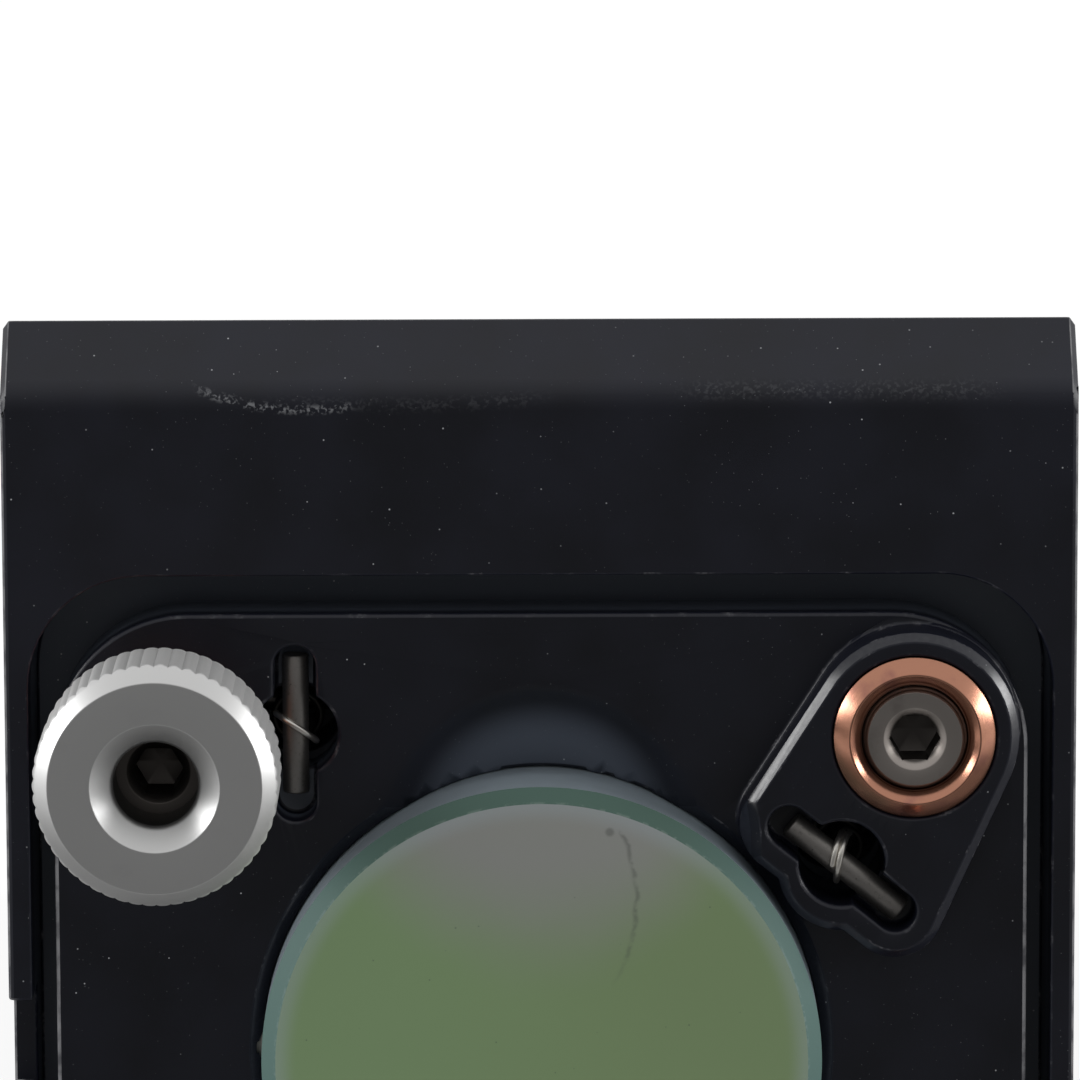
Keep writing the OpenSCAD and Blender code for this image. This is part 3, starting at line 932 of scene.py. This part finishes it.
@dataclass(frozen=True)
class MirrorGlass:
    """A glass disc seen from behind its coating: fine-ground faces, polished bevels, green depth.

    Attributes:
        upper: colour of the outer face at its upper edge, where it reflects a pale wall.
        left: its colour lower down on the left.
        right: its colour lower down on the right.
        bevel: colour of the bevel at the top.
        bevel_side_painted_light: its paler colour at both sides, painted light.
        wall: colour of the cylindrical wall.
        coating: colour of the reflecting face.
        edge_radius: radius at which the outer face meets its bevel.
    """

    upper: Colour = (0.292, 0.300, 0.280)
    left: Colour = (0.215, 0.330, 0.155)
    right: Colour = (0.208, 0.303, 0.140)
    bevel: Colour = (0.085, 0.148, 0.122)
    bevel_side_painted_light: Colour = (0.120, 0.205, 0.185)
    wall: Colour = (0.37, 0.44, 0.49)
    coating: Colour = (0.93, 0.93, 0.88)
    edge_radius: float = 12.05

    def outer(self, name: str) -> Material:
        """The ground outer face, green below a level that falls away to both sides, and pale above it."""
        board = Surface(name)
        across, up, _ = board.parts()
        cloud = board.noise(0.16, 3.0)
        level = board.plus(board.plus(up, board.times(across, across, -0.065)), board.times(cloud, 2.0))
        lower = board.blend(board.band(across, -8.0, 8.0), self.left, self.right)
        shade = board.blend(board.band(level, 3.5, 11.0), lower, self.upper)
        rim = board.band(board.radius(), self.edge_radius - 1.0, self.edge_radius)
        shade = board.blend(board.times(rim, 0.35), shade, self.wall)
        shade = board.blend(board.times(self.hair(board), 0.45), shade, (0.06, 0.065, 0.06))
        shade = board.blend(board.times(board.specks(0.9, 0.05), 0.5), shade, (0.03, 0.05, 0.04))
        return board.done(
            Base_Color=shade,
            Roughness=board.plus(board.times(cloud, 0.1), 0.42),
            Normal=board.bump(board.noise(16.0, 2.0), 0.004, 0.4),
            Coat_Weight=0.15,
            Coat_Roughness=0.25,
        )

    def hair(self, board: Surface) -> Socket:
        """A mask of one curved dark line: |across - curve(up)| below its width, broken up by noise."""
        across, up, _ = board.parts()
        along = board.minus(up, 7.6)
        wobble = board.times(board.minus(board.noise(1.2, 3.0), 0.5), 0.5)
        curve = board.plus(board.plus(board.times(along, along, -0.068), 4.3), wobble)
        line = board.band(board.size(board.minus(across, curve)), 0.20, 0.0)
        ends = board.times(board.band(up, 3.2, 6.0), board.band(up, 10.9, 10.6))
        broken = board.band(board.noise(2.4, 3.0), 0.36, 0.6, 0.25, 1.0)
        height = FACE.extent("mirror")[1][2]
        return board.most(board.times(line, ends, broken), board.spot((3.1, 10.75, height), 0.27))

    def bevelled(self, name: str) -> Material:
        """The bevel: darker green at the top, paler at the sides as painted light, with a chipped bright inner
        edge.
        """
        board = Surface(name)
        across, _, _ = board.parts()
        # Painted light: the bevel turns paler towards both sides.
        shade = board.blend(board.band(board.size(across), 5.0, 12.0), self.bevel, self.bevel_side_painted_light)
        inner = board.band(board.size(board.minus(board.radius(), self.edge_radius)), 0.12, 0.03)
        chips = board.times(inner, board.band(board.noise(3.0, 4.0), 0.48, 0.6))
        return board.done(
            Base_Color=board.blend(board.times(chips, 0.15), shade, (0.5, 0.56, 0.52)),
            Roughness=0.55,
            Normal=board.bump(board.noise(7.0), 0.003),
            Specular_IOR_Level=0.2,
        )

    def walled(self, name: str) -> Material:
        """The cylindrical wall, grey with a blue cast."""
        board = Surface(name)
        cloud = board.noise(0.8, 3.0)
        return board.done(
            Base_Color=board.blend(cloud, self.wall, scaled(self.wall, 0.8)),
            Roughness=0.32,
            Normal=board.bump(board.noise(9.0), 0.003),
            Coat_Weight=0.3,
            Coat_Roughness=0.2,
        )

    def coated(self, name: str) -> Material:
        """The reflecting face that the ports look at."""
        board = Surface(name)
        dust = board.specks(0.8, 0.05)
        return board.done(
            Base_Color=board.blend(board.times(dust, 0.6), self.coating, (0.4, 0.4, 0.4)),
            Metallic=1.0,
            Roughness=board.plus(board.times(dust, 0.5), 0.03),
        )


# ---- Sub-assemblies ----


@dataclass(frozen=True)
class TappedHole:
    """A standard thread for a tapped hole.

    Attributes:
        thread_mm: how far the thread stands into the bore.
        pitch_mm: distance between its turns.
        columns: steps round the bore.
        stop_mm: how far the thread ends before the bore does.
    """

    thread_mm: float
    pitch_mm: float
    columns: int
    stop_mm: float = 0.05

    def lining(self, radius: float, depth: float) -> Shell:
        """The threaded lining of a bore of this radius and depth, along z from its mouth."""
        crest = radius - self.thread_mm
        return threaded_sleeve(radius, crest, self.pitch_mm, depth - self.stop_mm, self.columns)


@dataclass
class Housing:
    """The block: ports, cage and post holes with their threads, seats and inner spring pins."""

    edge_mm: float = 0.12
    port_from_r: float = 5.0
    port: TappedHole = TappedHole(0.30, 0.635, 192)
    cage: TappedHole = TappedHole(0.20, 0.635, 40)
    post: TappedHole = TappedHole(0.28, 0.794, 48)
    finish: BlackAnodised = BlackAnodised(
        scuffs=(
            Scuff(-11.9, 3.9, 29.5, -10.5, 0.038, 0.32, 0.42),
            Scuff(13.5, 8.0, 30.3, 12.0, 0.0, 0.60, 0.07),
            Scuff(-6.0, 7.0, 29.7, -7.0, 0.006, 0.50, 0.05),
        ),
        chips=(((-4.95, 25.6, 3.0), 0.16), ((4.85, 23.6, 3.0), 0.11)),
    )
    polished: GroundMetal = GroundMetal((0.62, 0.62, 0.62), 0.16)
    pin: GroundMetal = GroundMetal((0.34, 0.33, 0.31), 0.34, (0.1, 1.0, 1.0))

    def build(self) -> None:
        """Builds the block's pieces and dresses the parts inside it."""
        face = self.finish.face("block_black")
        edge = self.finish.edge("block_edge")
        block = machined_copy("housing", "block", self.edge_mm, (face, edge, face))
        settle(block, Slot.BLOCK, "housing", "housing")
        for mount in frame["record"]["mounts"]:
            kind, name = mount["kind"], mount["name"]
            if kind in ("threaded_hole", "bolt_pattern"):
                shells = self.linings(mount)
                settle(add_piece(f"{name}_threads", shells, (face,)), Slot.BLOCK, "housing")
        polished = self.polished.material("seat_steel")
        pin = self.pin.material("inner_pin_steel")
        for node in ("vee_seat", "flat_seat", "cone_seat"):
            dress_node(node, polished)
        for corner in Adjuster:
            dress_node(f"inner_pin_{corner.value}", pin)

    def linings(self, mount: dict) -> list[Shell]:
        """The thread linings of one mount: a single hole, or four on a square round its middle."""
        outward = np.array(mount["axis"], float)
        dims = mount["dims"]
        middle = np.array(mount["pos_m"], float)
        if mount["kind"] == "threaded_hole":
            thread = self.port if dims["r_mm"] > self.port_from_r else self.post
            return [drilled(thread.lining(dims["r_mm"], dims["length_mm"]), middle, -outward)]
        across = np.array([1.0, 0.0, 0.0])
        along = np.cross(outward, across)
        depth = frame["record"]["mounts"][0]["dims"]["length_mm"]
        lining = self.cage.lining(dims["hole_r_mm"], depth)
        half = np.array([dims["spacing_x_mm"], dims["spacing_y_mm"]]) / 2 * MM
        corners = [(a * half[0], b * half[1]) for a in (-1, 1) for b in (-1, 1)]
        return [drilled(lining, middle + a * across + b * along, -outward) for a, b in corners]


@dataclass
class MirrorPlate:
    """The moving plate with its mirror, setscrew and nylon tip."""

    edge_mm: float = 0.17
    bevel_mm: float = 0.65
    rear_bevel_mm: float = 0.2
    setscrew_pitch: float = 0.45
    setscrew_thread: float = 0.2
    setscrew_af: float = 1.27
    setscrew_hex_depth: float = 1.8
    setscrew_drill_depth: float = 2.1
    finish: BlackAnodised = BlackAnodised(
        colour=(0.0034, 0.0040, 0.0080),
        painted_light_region=(30.0, 30.0, 2.7),
        roughness=0.36,
        speck_mm=0.045,
        paler_edges_from=21.9,
        chips=(((-3.0, 20.0, 3.0), 0.13),),
    )
    glass: MirrorGlass = MirrorGlass()
    black_steel: Plastic = Plastic((0.035, 0.035, 0.036), 0.34, 0.6)
    nylon: Plastic = Plastic((0.72, 0.70, 0.62), 0.5)

    def build(self) -> None:
        """Builds the plate, the mirror and the setscrew."""
        face = self.finish.face("plate_black")
        edge = self.finish.edge("plate_edge")
        chamfer = self.finish.chamfer("plate_chamfer")
        plate = machined_copy("kinematic_plate", "moving_plate", self.edge_mm, (face, edge, chamfer))
        settle(plate, Slot.PLATE, "mirror_plate", "kinematic_plate")
        settle(self.mirror(), Slot.MIRROR, "mirror_plate", "mirror")
        settle(self.setscrew(), Slot.BLACK_STEEL, "mirror_plate", "mirror_setscrew")
        dress_node("mirror_setscrew_tip", self.nylon.material("nylon_tip"))

    def mirror(self) -> bpy.types.Object:
        """The disc: rear face, wall, bevel and outer face, each with its own finish."""
        low, high = FACE.extent("mirror")
        radius, base, top = FACE.half("mirror")[0], low[2], high[2]
        soft = 0.04
        profile = np.array([
            (0.0, base), (radius - self.rear_bevel_mm, base), (radius, base + self.rear_bevel_mm),
            (radius, top - self.bevel_mm - soft), (radius, top - self.bevel_mm),
            (radius - self.bevel_mm, top), (radius - self.bevel_mm - soft, top), (0.0, top),
        ])
        bands = np.array([0, 1, 1, 1, 2, 3, 3])
        materials = (self.glass.coated("mirror_coating"), self.glass.walled("mirror_wall"),
                     self.glass.bevelled("mirror_bevel"), self.glass.outer("mirror_back"))
        grid = FACE.place(turned(profile[:, 0], profile[:, 1], 192))
        return add_piece("mirror_disc", [Shell(grid, finish=bands)], materials, 20.0)

    def setscrew(self) -> bpy.types.Object:
        """The nylon-tipped setscrew, threaded, with a hex socket at its outer end."""
        low, high = FACE.extent("mirror_setscrew")
        columns, length = 48, high[0] - low[0]
        crest = FACE.half("mirror_setscrew")[1]
        bore = FACE.half("mirror_setscrew_tip")[1] + 0.01
        height = np.linspace(0.0, length, 120)
        side = thread_radius(height, columns, crest - self.setscrew_thread, crest, self.setscrew_pitch)
        hexagon = hexagon_radius(columns, self.setscrew_af)
        flat = np.ones(columns)
        sunk = high[0] - FACE.extent("mirror_setscrew_tip")[0][0]
        radius = np.vstack([0 * flat, bore * flat, bore * flat, side, hexagon, hexagon, 0 * flat])
        socket = [length, length - self.setscrew_hex_depth, length - self.setscrew_drill_depth]
        heights = np.concatenate([[sunk, sunk, 0.0], height, socket])
        screw = turned(radius, heights, columns)
        middle = FACE.middle("mirror_setscrew")
        local = np.stack([high[0] - screw[..., 2], middle[1] + screw[..., 0], middle[2] + screw[..., 1]], -1)
        black = self.black_steel.material("black_oxide")
        return add_piece("mirror_setscrew_threaded", [Shell(FACE.place(local))], (black,))


@dataclass
class CornerSet:
    """What the sub-assemblies at the plate's three corners share."""

    corner: Adjuster

    def node(self, kind: str) -> str:
        """The name of this corner's CAD node of a kind."""
        return f"{kind}_{self.corner.value}"

    def named(self, what: str) -> str:
        """A name that starts with the corner."""
        return f"{self.corner.value}_{what}"


@dataclass
class AdjusterSet(CornerSet):
    """One corner's adjuster: bushing, screw, ball, and a knob where the corner has one."""

    thread_pitch: float = 0.254
    thread_mm: float = 0.13
    hex_af: float = 2.0
    hex_depth: float = 2.4
    hex_sink: float = 0.25
    hex_point: float = 0.35
    screw_chamfer: float = 0.18
    cup_lip: float = 0.35
    bushing_gap: float = 0.05
    bushing_flange: float = 0.6
    bushing_cone: float = 0.66
    bushing_sink: float = 0.55
    knob_ribs: int = 54
    rib_mm: float = 0.10
    ribbed_mm: float = 0.5
    rolled_mm: float = 0.16
    plate_level: float = 3.0
    knob_length: float = 5.3
    knob_chamfer: float = 0.70
    knob_rear_chamfer: float = 0.3
    knob_gap: float = 0.01
    knob_hole_r: float = 1.86
    knob_sink_r: float = 2.85
    knob_hub_r: float = 3.4
    bronze: TurnedMetal = TurnedMetal((0.47, 0.225, 0.15), (0.25, 0.10, 0.10), 0.22, stained=0.6)
    steel: TurnedMetal = TurnedMetal((0.37, 0.335, 0.31), (0.20, 0.18, 0.165), 0.34)
    satin: TurnedMetal = TurnedMetal((0.66, 0.66, 0.655), (0.58, 0.575, 0.575), 0.40, 7.0, 0.0008, 0.2)
    polished: GroundMetal = GroundMetal((0.62, 0.62, 0.62), 0.12)

    def build(self) -> None:
        """Builds the corner's pieces and dresses its ball."""
        at = FACE.middle(self.node("screw"))[:2]
        self.build_bushing(at)
        self.build_screw(at)
        dress_node(self.node("ball"), self.polished.material(self.named("ball_steel")))
        if self.corner is not Adjuster.PIVOT:
            self.build_knob(at)

    def build_bushing(self, at: np.ndarray) -> None:
        """The bronze bushing: a closed ring whose rim is coned outside and countersunk inside."""
        low, high = FACE.extent(self.node("bushing"))
        bore = FACE.half(self.node("screw"))[0] + self.bushing_gap
        rim, top, base = FACE.half(self.node("bushing"))[0], high[2], low[2]
        spigot = rim - self.bushing_flange
        corners = [
            (bore, base), (spigot, base), (spigot, self.plate_level), (rim, self.plate_level),
            (rim, top - self.bushing_cone), (bore + self.bushing_sink, top), (bore, top - self.bushing_sink),
        ]
        radii = [0.05, 0.1, 0.0, 0.05, 0.08, 0.08, 0.12]
        outline = eased(corners, radii, 7)
        shell = Shell(standing(turned(outline[:, 0], outline[:, 1], 128), at), ring=True)
        material = self.bronze.material(self.named("bushing_bronze"), at)
        settle_for(self.node("bushing"), self.named("bushing"), shell, material, 50.0, Slot.BRONZE)

    def build_screw(self, at: np.ndarray) -> None:
        """The adjuster screw: cup, fine thread, chamfered end and hex socket, as one surface."""
        low, high = FACE.extent(self.node("screw"))
        columns, crest = 72, FACE.half(self.node("screw"))[0]
        cup, top = low[2], high[2]
        ball = self.node("ball")
        cup_r = FACE.half(ball)[2] * math.sqrt(2) - (cup - FACE.middle(ball)[2]) + 0.03
        rows = int((top - cup) / self.thread_pitch * THREAD_ROWS) + 1
        height = np.linspace(cup + 0.05, top - self.screw_chamfer, rows)
        side = thread_radius(height, columns, crest - self.thread_mm, crest, self.thread_pitch)
        flat = np.ones(columns)
        hexagon = hexagon_radius(columns, self.hex_af)
        sink = self.hex_af / math.sqrt(3) + self.hex_sink
        end = crest - self.screw_chamfer
        radius = np.vstack([0 * flat, cup_r * flat, (crest - self.cup_lip) * flat, side, end * flat,
                            (end - 0.05) * flat, (sink + 0.05) * flat, (sink - 0.02) * flat,
                            hexagon, hexagon, 0 * flat])
        level = [flat * value for value in (cup + cup_r, cup, cup)]
        level.append(np.repeat(height[:, None], columns, 1))
        level += [flat * value for value in (top - 0.05, top, top, top - 0.03)]
        level.append(top - (sink - hexagon))
        level += [flat * (top - self.hex_depth), flat * (top - self.hex_depth - self.hex_point)]
        heights = np.vstack(level)
        shell = Shell(standing(turned(radius, heights, columns), at))
        # Painted shade: under a knob the screw's whole end is darkened, and at the pivot the socket below its
        # mouth.
        capped = self.corner is not Adjuster.PIVOT
        bore = (crest + 1.0, top + 1.0) if capped else (sink - 0.05, top - 0.2)
        material = self.steel.material(self.named("screw_steel"), at, bore)
        settle_for(self.node("screw"), self.named("adjuster_screw"), shell, material, 40.0, Slot.ADJUSTER)

    def build_knob(self, at: np.ndarray) -> None:
        """The knurled knob: a closed ring whose outer rows follow the ribs where those lie deeper.

        A rib's section is the knob's radius less a depth times 1 - |cos(n a / 2)|, which gives round
        crests and sharp valleys.
        """
        low, high = FACE.extent(self.node("knob"))
        rim, top, back = FACE.half(self.node("knob"))[0], high[2], low[2]
        rear = top - self.knob_length
        bore, seat = FACE.half(self.node("screw"))[0] + self.knob_gap, FACE.extent(self.node("screw"))[1][2]
        corners = [
            (bore, back), (self.knob_hub_r, back), (self.knob_hub_r, rear),
            (rim - self.knob_rear_chamfer, rear), (rim, rear + self.knob_rear_chamfer),
            (rim, top - self.knob_chamfer), (rim - self.knob_chamfer, top),
            (self.knob_sink_r, top), (self.knob_hole_r, top - self.knob_sink_r + self.knob_hole_r),
            (self.knob_hole_r, seat), (bore, seat),
        ]
        radii = [0.1, 0.2, 0.1, 0.12, 0.28, 0.22, 0.05, 0.04, 0.25, 0.05, 0.05]
        outline = eased(corners, radii, 7)
        columns = self.knob_ribs * 10
        rib = 1 - np.abs(np.cos(self.knob_ribs / 2 * angles(columns)))
        ribbed = rim - self.rib_mm * rib[None, :]
        outer = (outline[:, 0] > rim - self.ribbed_mm)[:, None]
        radius = np.where(outer, np.minimum(outline[:, :1], ribbed), outline[:, :1])
        shell = Shell(standing(turned(radius, outline[:, 1], columns), at), ring=True)
        # Painted shade down the knob's hole.
        shaded_bore = (self.knob_hole_r + 0.05, top - self.knob_sink_r + self.knob_hole_r - 0.1)
        material = self.satin.material(self.named("knob_satin"), at, shaded_bore, rim - self.rolled_mm)
        settle_for(self.node("knob"), self.named("knurled_knob"), shell, material, 38.0, Slot.KNOB)


@dataclass
class SpringSet(CornerSet):
    """One corner's extension spring and the pin that holds its outer hook."""

    hook_turn_deg: float
    hook_lean_deg: float
    slot_turn_deg: float
    coil_r: float = 1.15
    wire_r: float = 0.15
    hook_r: float = 1.15
    hook_turns: float = 1.6
    hook_pitch: float = 0.29
    neck: float = 1.3
    coil_pitch: float = 0.42
    inner_pin_r: float = 0.5
    pin_edge: float = 0.1
    wire_steel: GroundMetal = GroundMetal((0.74, 0.71, 0.66), 0.34)
    pin_steel: GroundMetal = GroundMetal((0.29, 0.275, 0.26), 0.46, (1.0, 1.0, 1.0))

    def build(self) -> None:
        """Builds the spring and its outer pin."""
        pin_node, spring_node = self.node("outer_pin"), self.node("spring")
        self.build_pin(pin_node)
        at = FACE.middle(spring_node)
        pin_top = FACE.extent(pin_node)[1][2]
        inner = FACE.middle(self.node("inner_pin"))[2]
        path, normal = self.spring_path(pin_top + self.wire_r - self.hook_r,
                                        inner - self.inner_pin_r - self.wire_r + self.hook_r)
        turn = math.radians(self.hook_turn_deg)
        cos, sin = math.cos(turn), math.sin(turn)
        spin = np.array([[cos, sin, 0], [-sin, cos, 0], [0, 0, 1]])
        shell = Shell(standing(wire(path @ spin, normal @ spin, self.wire_r, 12).grid, at))
        # The wire is darkened from 0.9 mm below the pin's top: painted shade down in its hole.
        material = self.wire_steel.material(self.named("spring_wire"), pin_top - 0.9)
        settle_for(spring_node, self.named("spring_wound"), shell, material, 60.0, Slot.SPRING)

    def spring_path(self, upper: float, deeper: float) -> tuple[np.ndarray, np.ndarray]:
        """The line of the wire, in millimetres, with x across the outer hook's plane.

        The coil is a helix. Over its end turns its radius shrinks smoothly to almost nothing while it
        climbs out as a neck, and from there the wire runs into a hook: a leaning ring, wound beside
        itself a little past a turn. A short running mean rounds the joins.

        Args:
            upper: level of the outer hook's middle.
            deeper: level of the inner hook's middle.

        Returns:
            The points, and a normal for each.
        """
        start, stop = deeper + self.hook_r, upper - self.hook_r
        turns = round((stop - start - 2 * self.neck) / self.coil_pitch)
        angle = np.linspace(0, turns * TURN, turns * 40 + 1)
        from_end = np.minimum(angle, angle[-1] - angle) / (0.75 * TURN)
        inside = np.clip(from_end, 0.0, 1.0)
        radius = self.coil_r * (0.04 + 0.96 * inside * inside * (3 - 2 * inside))
        phase = angle - angle[-1] + math.pi
        climb = np.gradient(angle) + (1 - inside) * 0.9
        height = start + (stop - start) * (np.cumsum(climb) - climb[0]) / (np.sum(climb) - climb[0])
        coil = np.stack([radius * np.cos(phase), radius * np.sin(phase), height], 1)
        outer = self.hook(self.hook_turns, self.hook_pitch, math.radians(self.hook_lean_deg))
        inner = self.hook(0.75, 0.0, 0.0) * np.array([-1.0, 1.0, -1.0])
        outer[:, 2] += upper
        inner[:, 2] += deeper
        path = np.concatenate([inner[::-1], coil, outer])
        along_coil = np.repeat([[0.0, 0.0, 1.0]], len(coil), 0)
        normal = np.concatenate([np.tile([0.0, -1.0, 0.0], (len(inner), 1)), along_coil,
                                 np.tile([0.0, -1.0, 0.0], (len(outer), 1))])
        return self.smoothed(path), self.smoothed(normal)

    def hook(self, turns: float, pitch: float, lean: float) -> np.ndarray:
        """A ring of wire round its middle, from its lowest point, in the xz plane, leaning about x."""
        swing = np.linspace(0, turns * TURN, int(turns * 64))
        aside = pitch * (swing / TURN - turns / 2)
        rise = -self.hook_r * np.cos(swing)
        return np.stack([self.hook_r * np.sin(swing), aside * math.cos(lean) - rise * math.sin(lean),
                         rise * math.cos(lean) + aside * math.sin(lean)], 1)

    @staticmethod
    def smoothed(rows: np.ndarray, reach: int = 4) -> np.ndarray:
        """A running mean over rows of numbers, with the uneven ends left off."""
        weights = np.ones(2 * reach + 1) / (2 * reach + 1)
        return np.stack([np.convolve(column, weights, "valid") for column in rows.T], 1)

    def build_pin(self, node: str) -> None:
        """The dowel pin across the slot, with rounded ends, as a surface of revolution."""
        radius, edge = FACE.half(node)[2], self.pin_edge
        turn = math.radians(self.slot_turn_deg)
        along = np.array([math.cos(turn), math.sin(turn), 0.0])
        half = np.ptp(node_points(node) @ (along @ FACE.axes)) / MM / 2
        profile = np.array([(0.0, -half), (radius - edge, -half), (radius - 0.3 * edge, -half + 0.3 * edge),
                            (radius, -half + edge), (radius, half - edge),
                            (radius - 0.3 * edge, half - 0.3 * edge), (radius - edge, half), (0.0, half)])
        grid = turned(profile[:, 0], profile[:, 1], 40)
        beside = np.array([-along[1], along[0], 0.0])
        up = np.array([0.0, 0.0, 1.0])
        local = (FACE.middle(node) + grid[..., 2:] * along + grid[..., :1] * beside + grid[..., 1:2] * up)
        material = self.pin_steel.material(self.named("pin_steel"))
        settle_for(node, self.named("spring_pin"), Shell(FACE.place(local)), material, 50.0, Slot.PIN)


# ---- Setting ----


@dataclass(frozen=True)
class Lamp:
    """A square soft light: its direction from the object, distance, size, and brightness as seen."""

    name: str
    direction: Colour
    distance_m: float
    size_m: float
    radiance: float

    def add(self, target: np.ndarray) -> None:
        """Adds the light, aimed at a point. Its power is radiance times pi times its area."""
        light = bpy.data.lights.new(self.name, "AREA")
        light.size = self.size_m
        light.energy = self.radiance * math.pi * self.size_m**2
        lamp = bpy.data.objects.new(self.name, light)
        away = Vector(self.direction).normalized()
        lamp.location = Vector(target) + away * self.distance_m
        lamp.rotation_mode = "QUATERNION"
        lamp.rotation_quaternion = away.to_track_quat("Z", "Y")
        lamp.visible_camera = False
        bpy.context.scene.collection.objects.link(lamp)


@dataclass
class Studio:
    """Camera, pale floor, white surroundings and soft lights."""

    lens_mm: float = 255.7
    sensor_mm: float = 36.0
    camera_at: Colour = (0.01, 81.1, 344.7)
    elevation_deg: float = 54.57
    roll_deg: float = -0.21
    floor_radius_m: float = 6.0
    floor_gap_m: float = 2e-5
    diffuse_level: float = 0.72
    room_front: float = 0.20
    room_back: float = 1.0
    floor_albedo: float = 0.34
    floor_glow: float = 0.78
    floor_front: float = 0.16
    dim_ahead_m: float = 0.09
    lamps: tuple[Lamp, ...] = (
        Lamp("left_softbox", (-0.94, 0.20, 0.28), 0.60, 0.20, 11.0),
        Lamp("right_softbox", (0.96, 0.20, 0.20), 0.60, 0.20, 11.0),
    )

    def build(self) -> None:
        """Sets up the camera, world, floor and lights."""
        self.add_camera()
        self.add_world()
        self.add_floor()
        for lamp in self.lamps:
            lamp.add(FACE.origin)
        bpy.context.scene.view_settings.view_transform = "Standard"

    def add_camera(self) -> None:
        """The camera stands over the face and looks forward and down at it."""
        data = bpy.data.cameras.new("camera")
        data.lens = self.lens_mm
        data.sensor_width = self.sensor_mm
        data.clip_start, data.clip_end = 0.01, 50.0
        camera = bpy.data.objects.new("camera", data)
        camera.location = FACE.place(np.array(self.camera_at))
        camera.rotation_mode = "ZYX"
        camera.rotation_euler = (math.radians(90 - self.elevation_deg), 0.0, math.radians(self.roll_deg))
        bpy.context.scene.collection.objects.link(camera)
        bpy.context.scene.camera = camera

    def add_world(self) -> None:
        """White for the camera and low round the sides and back for gloss; a grey room above and in front.

        A glossy ray meets white where its height is small and it doesn't point forward, and elsewhere a
        grey that grows from the front to the back. Diffuse rays meet one plain level.
        """
        world = bpy.data.worlds.new("surroundings")
        bpy.context.scene.world = world
        world.use_nodes = True
        board = Board(world.node_tree)
        background = board.add("Background")
        board.feed(board.add("OutputWorld").inputs["Surface"], background.outputs[0])
        _, ahead, up = board.split(board.add("TexCoord").outputs["Generated"])
        room = board.band(ahead, -0.75, 0.40, self.room_front, self.room_back)
        away = board.most(board.band(up, 0.12, 0.42), board.band(ahead, -0.35, -0.75))
        shown = board.between(board.ray("Camera"), board.between(away, 1.0, room), 1.0)
        level = board.between(board.direct_rays(), self.diffuse_level, shown)
        board.feed(background.inputs["Strength"], level)

    def add_floor(self) -> None:
        """A round floor that shows white to the camera and further out, and keeps the mount's shadow."""
        ring = np.array([(0.0, 0.0), (self.floor_radius_m, 0.0)])
        grid = turned(ring[:, 0], ring[:, 1], 96)
        low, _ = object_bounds()
        grid[..., 2] = low[2] - self.floor_gap_m
        material = bpy.data.materials.new("pale_floor")
        material.use_nodes = True
        board = Board(material.node_tree)
        paper = board.add("BsdfDiffuse")
        paper.inputs["Color"].default_value = (self.floor_albedo,) * 3 + (1.0,)
        place = board.add("TexCoord").outputs["Object"]
        ahead = board.band(board.split(place)[1], -0.12, -0.30, self.floor_glow, self.floor_front)
        away = board.distance(place, (0.0, -self.dim_ahead_m, 0.0))
        seen = board.between(board.ray("Camera"), board.band(away, 0.10, 0.30, 0.0, ahead), self.floor_glow)
        glow = board.add("Emission")
        board.feed(glow.inputs["Strength"], board.between(board.direct_rays(), 0.0, seen))
        both = board.add("AddShader")
        board.feed(both.inputs[0], paper.outputs[0])
        board.feed(both.inputs[1], glow.outputs[0])
        board.feed(board.add("OutputMaterial").inputs["Surface"], both.outputs[0])
        add_piece("floor", [Shell(grid)], (material,))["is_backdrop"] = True


def main() -> None:
    """Builds the mount's pieces in order, then its setting."""
    logging.basicConfig(level=logging.INFO, format="%(name)s: %(message)s")
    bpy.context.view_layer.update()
    Studio().build()
    Housing().build()
    MirrorPlate().build()
    for corner in Adjuster:
        AdjusterSet(corner).build()
    SpringSet(Adjuster.PIVOT, hook_turn_deg=80, hook_lean_deg=-10, slot_turn_deg=-39).build()
    SpringSet(Adjuster.LEFT, hook_turn_deg=-31, hook_lean_deg=-10, slot_turn_deg=90, hook_turns=0.95).build()
    SpringSet(Adjuster.LOWER, hook_turn_deg=121, hook_lean_deg=6, slot_turn_deg=0).build()


if __name__ == "__main__":
    main()
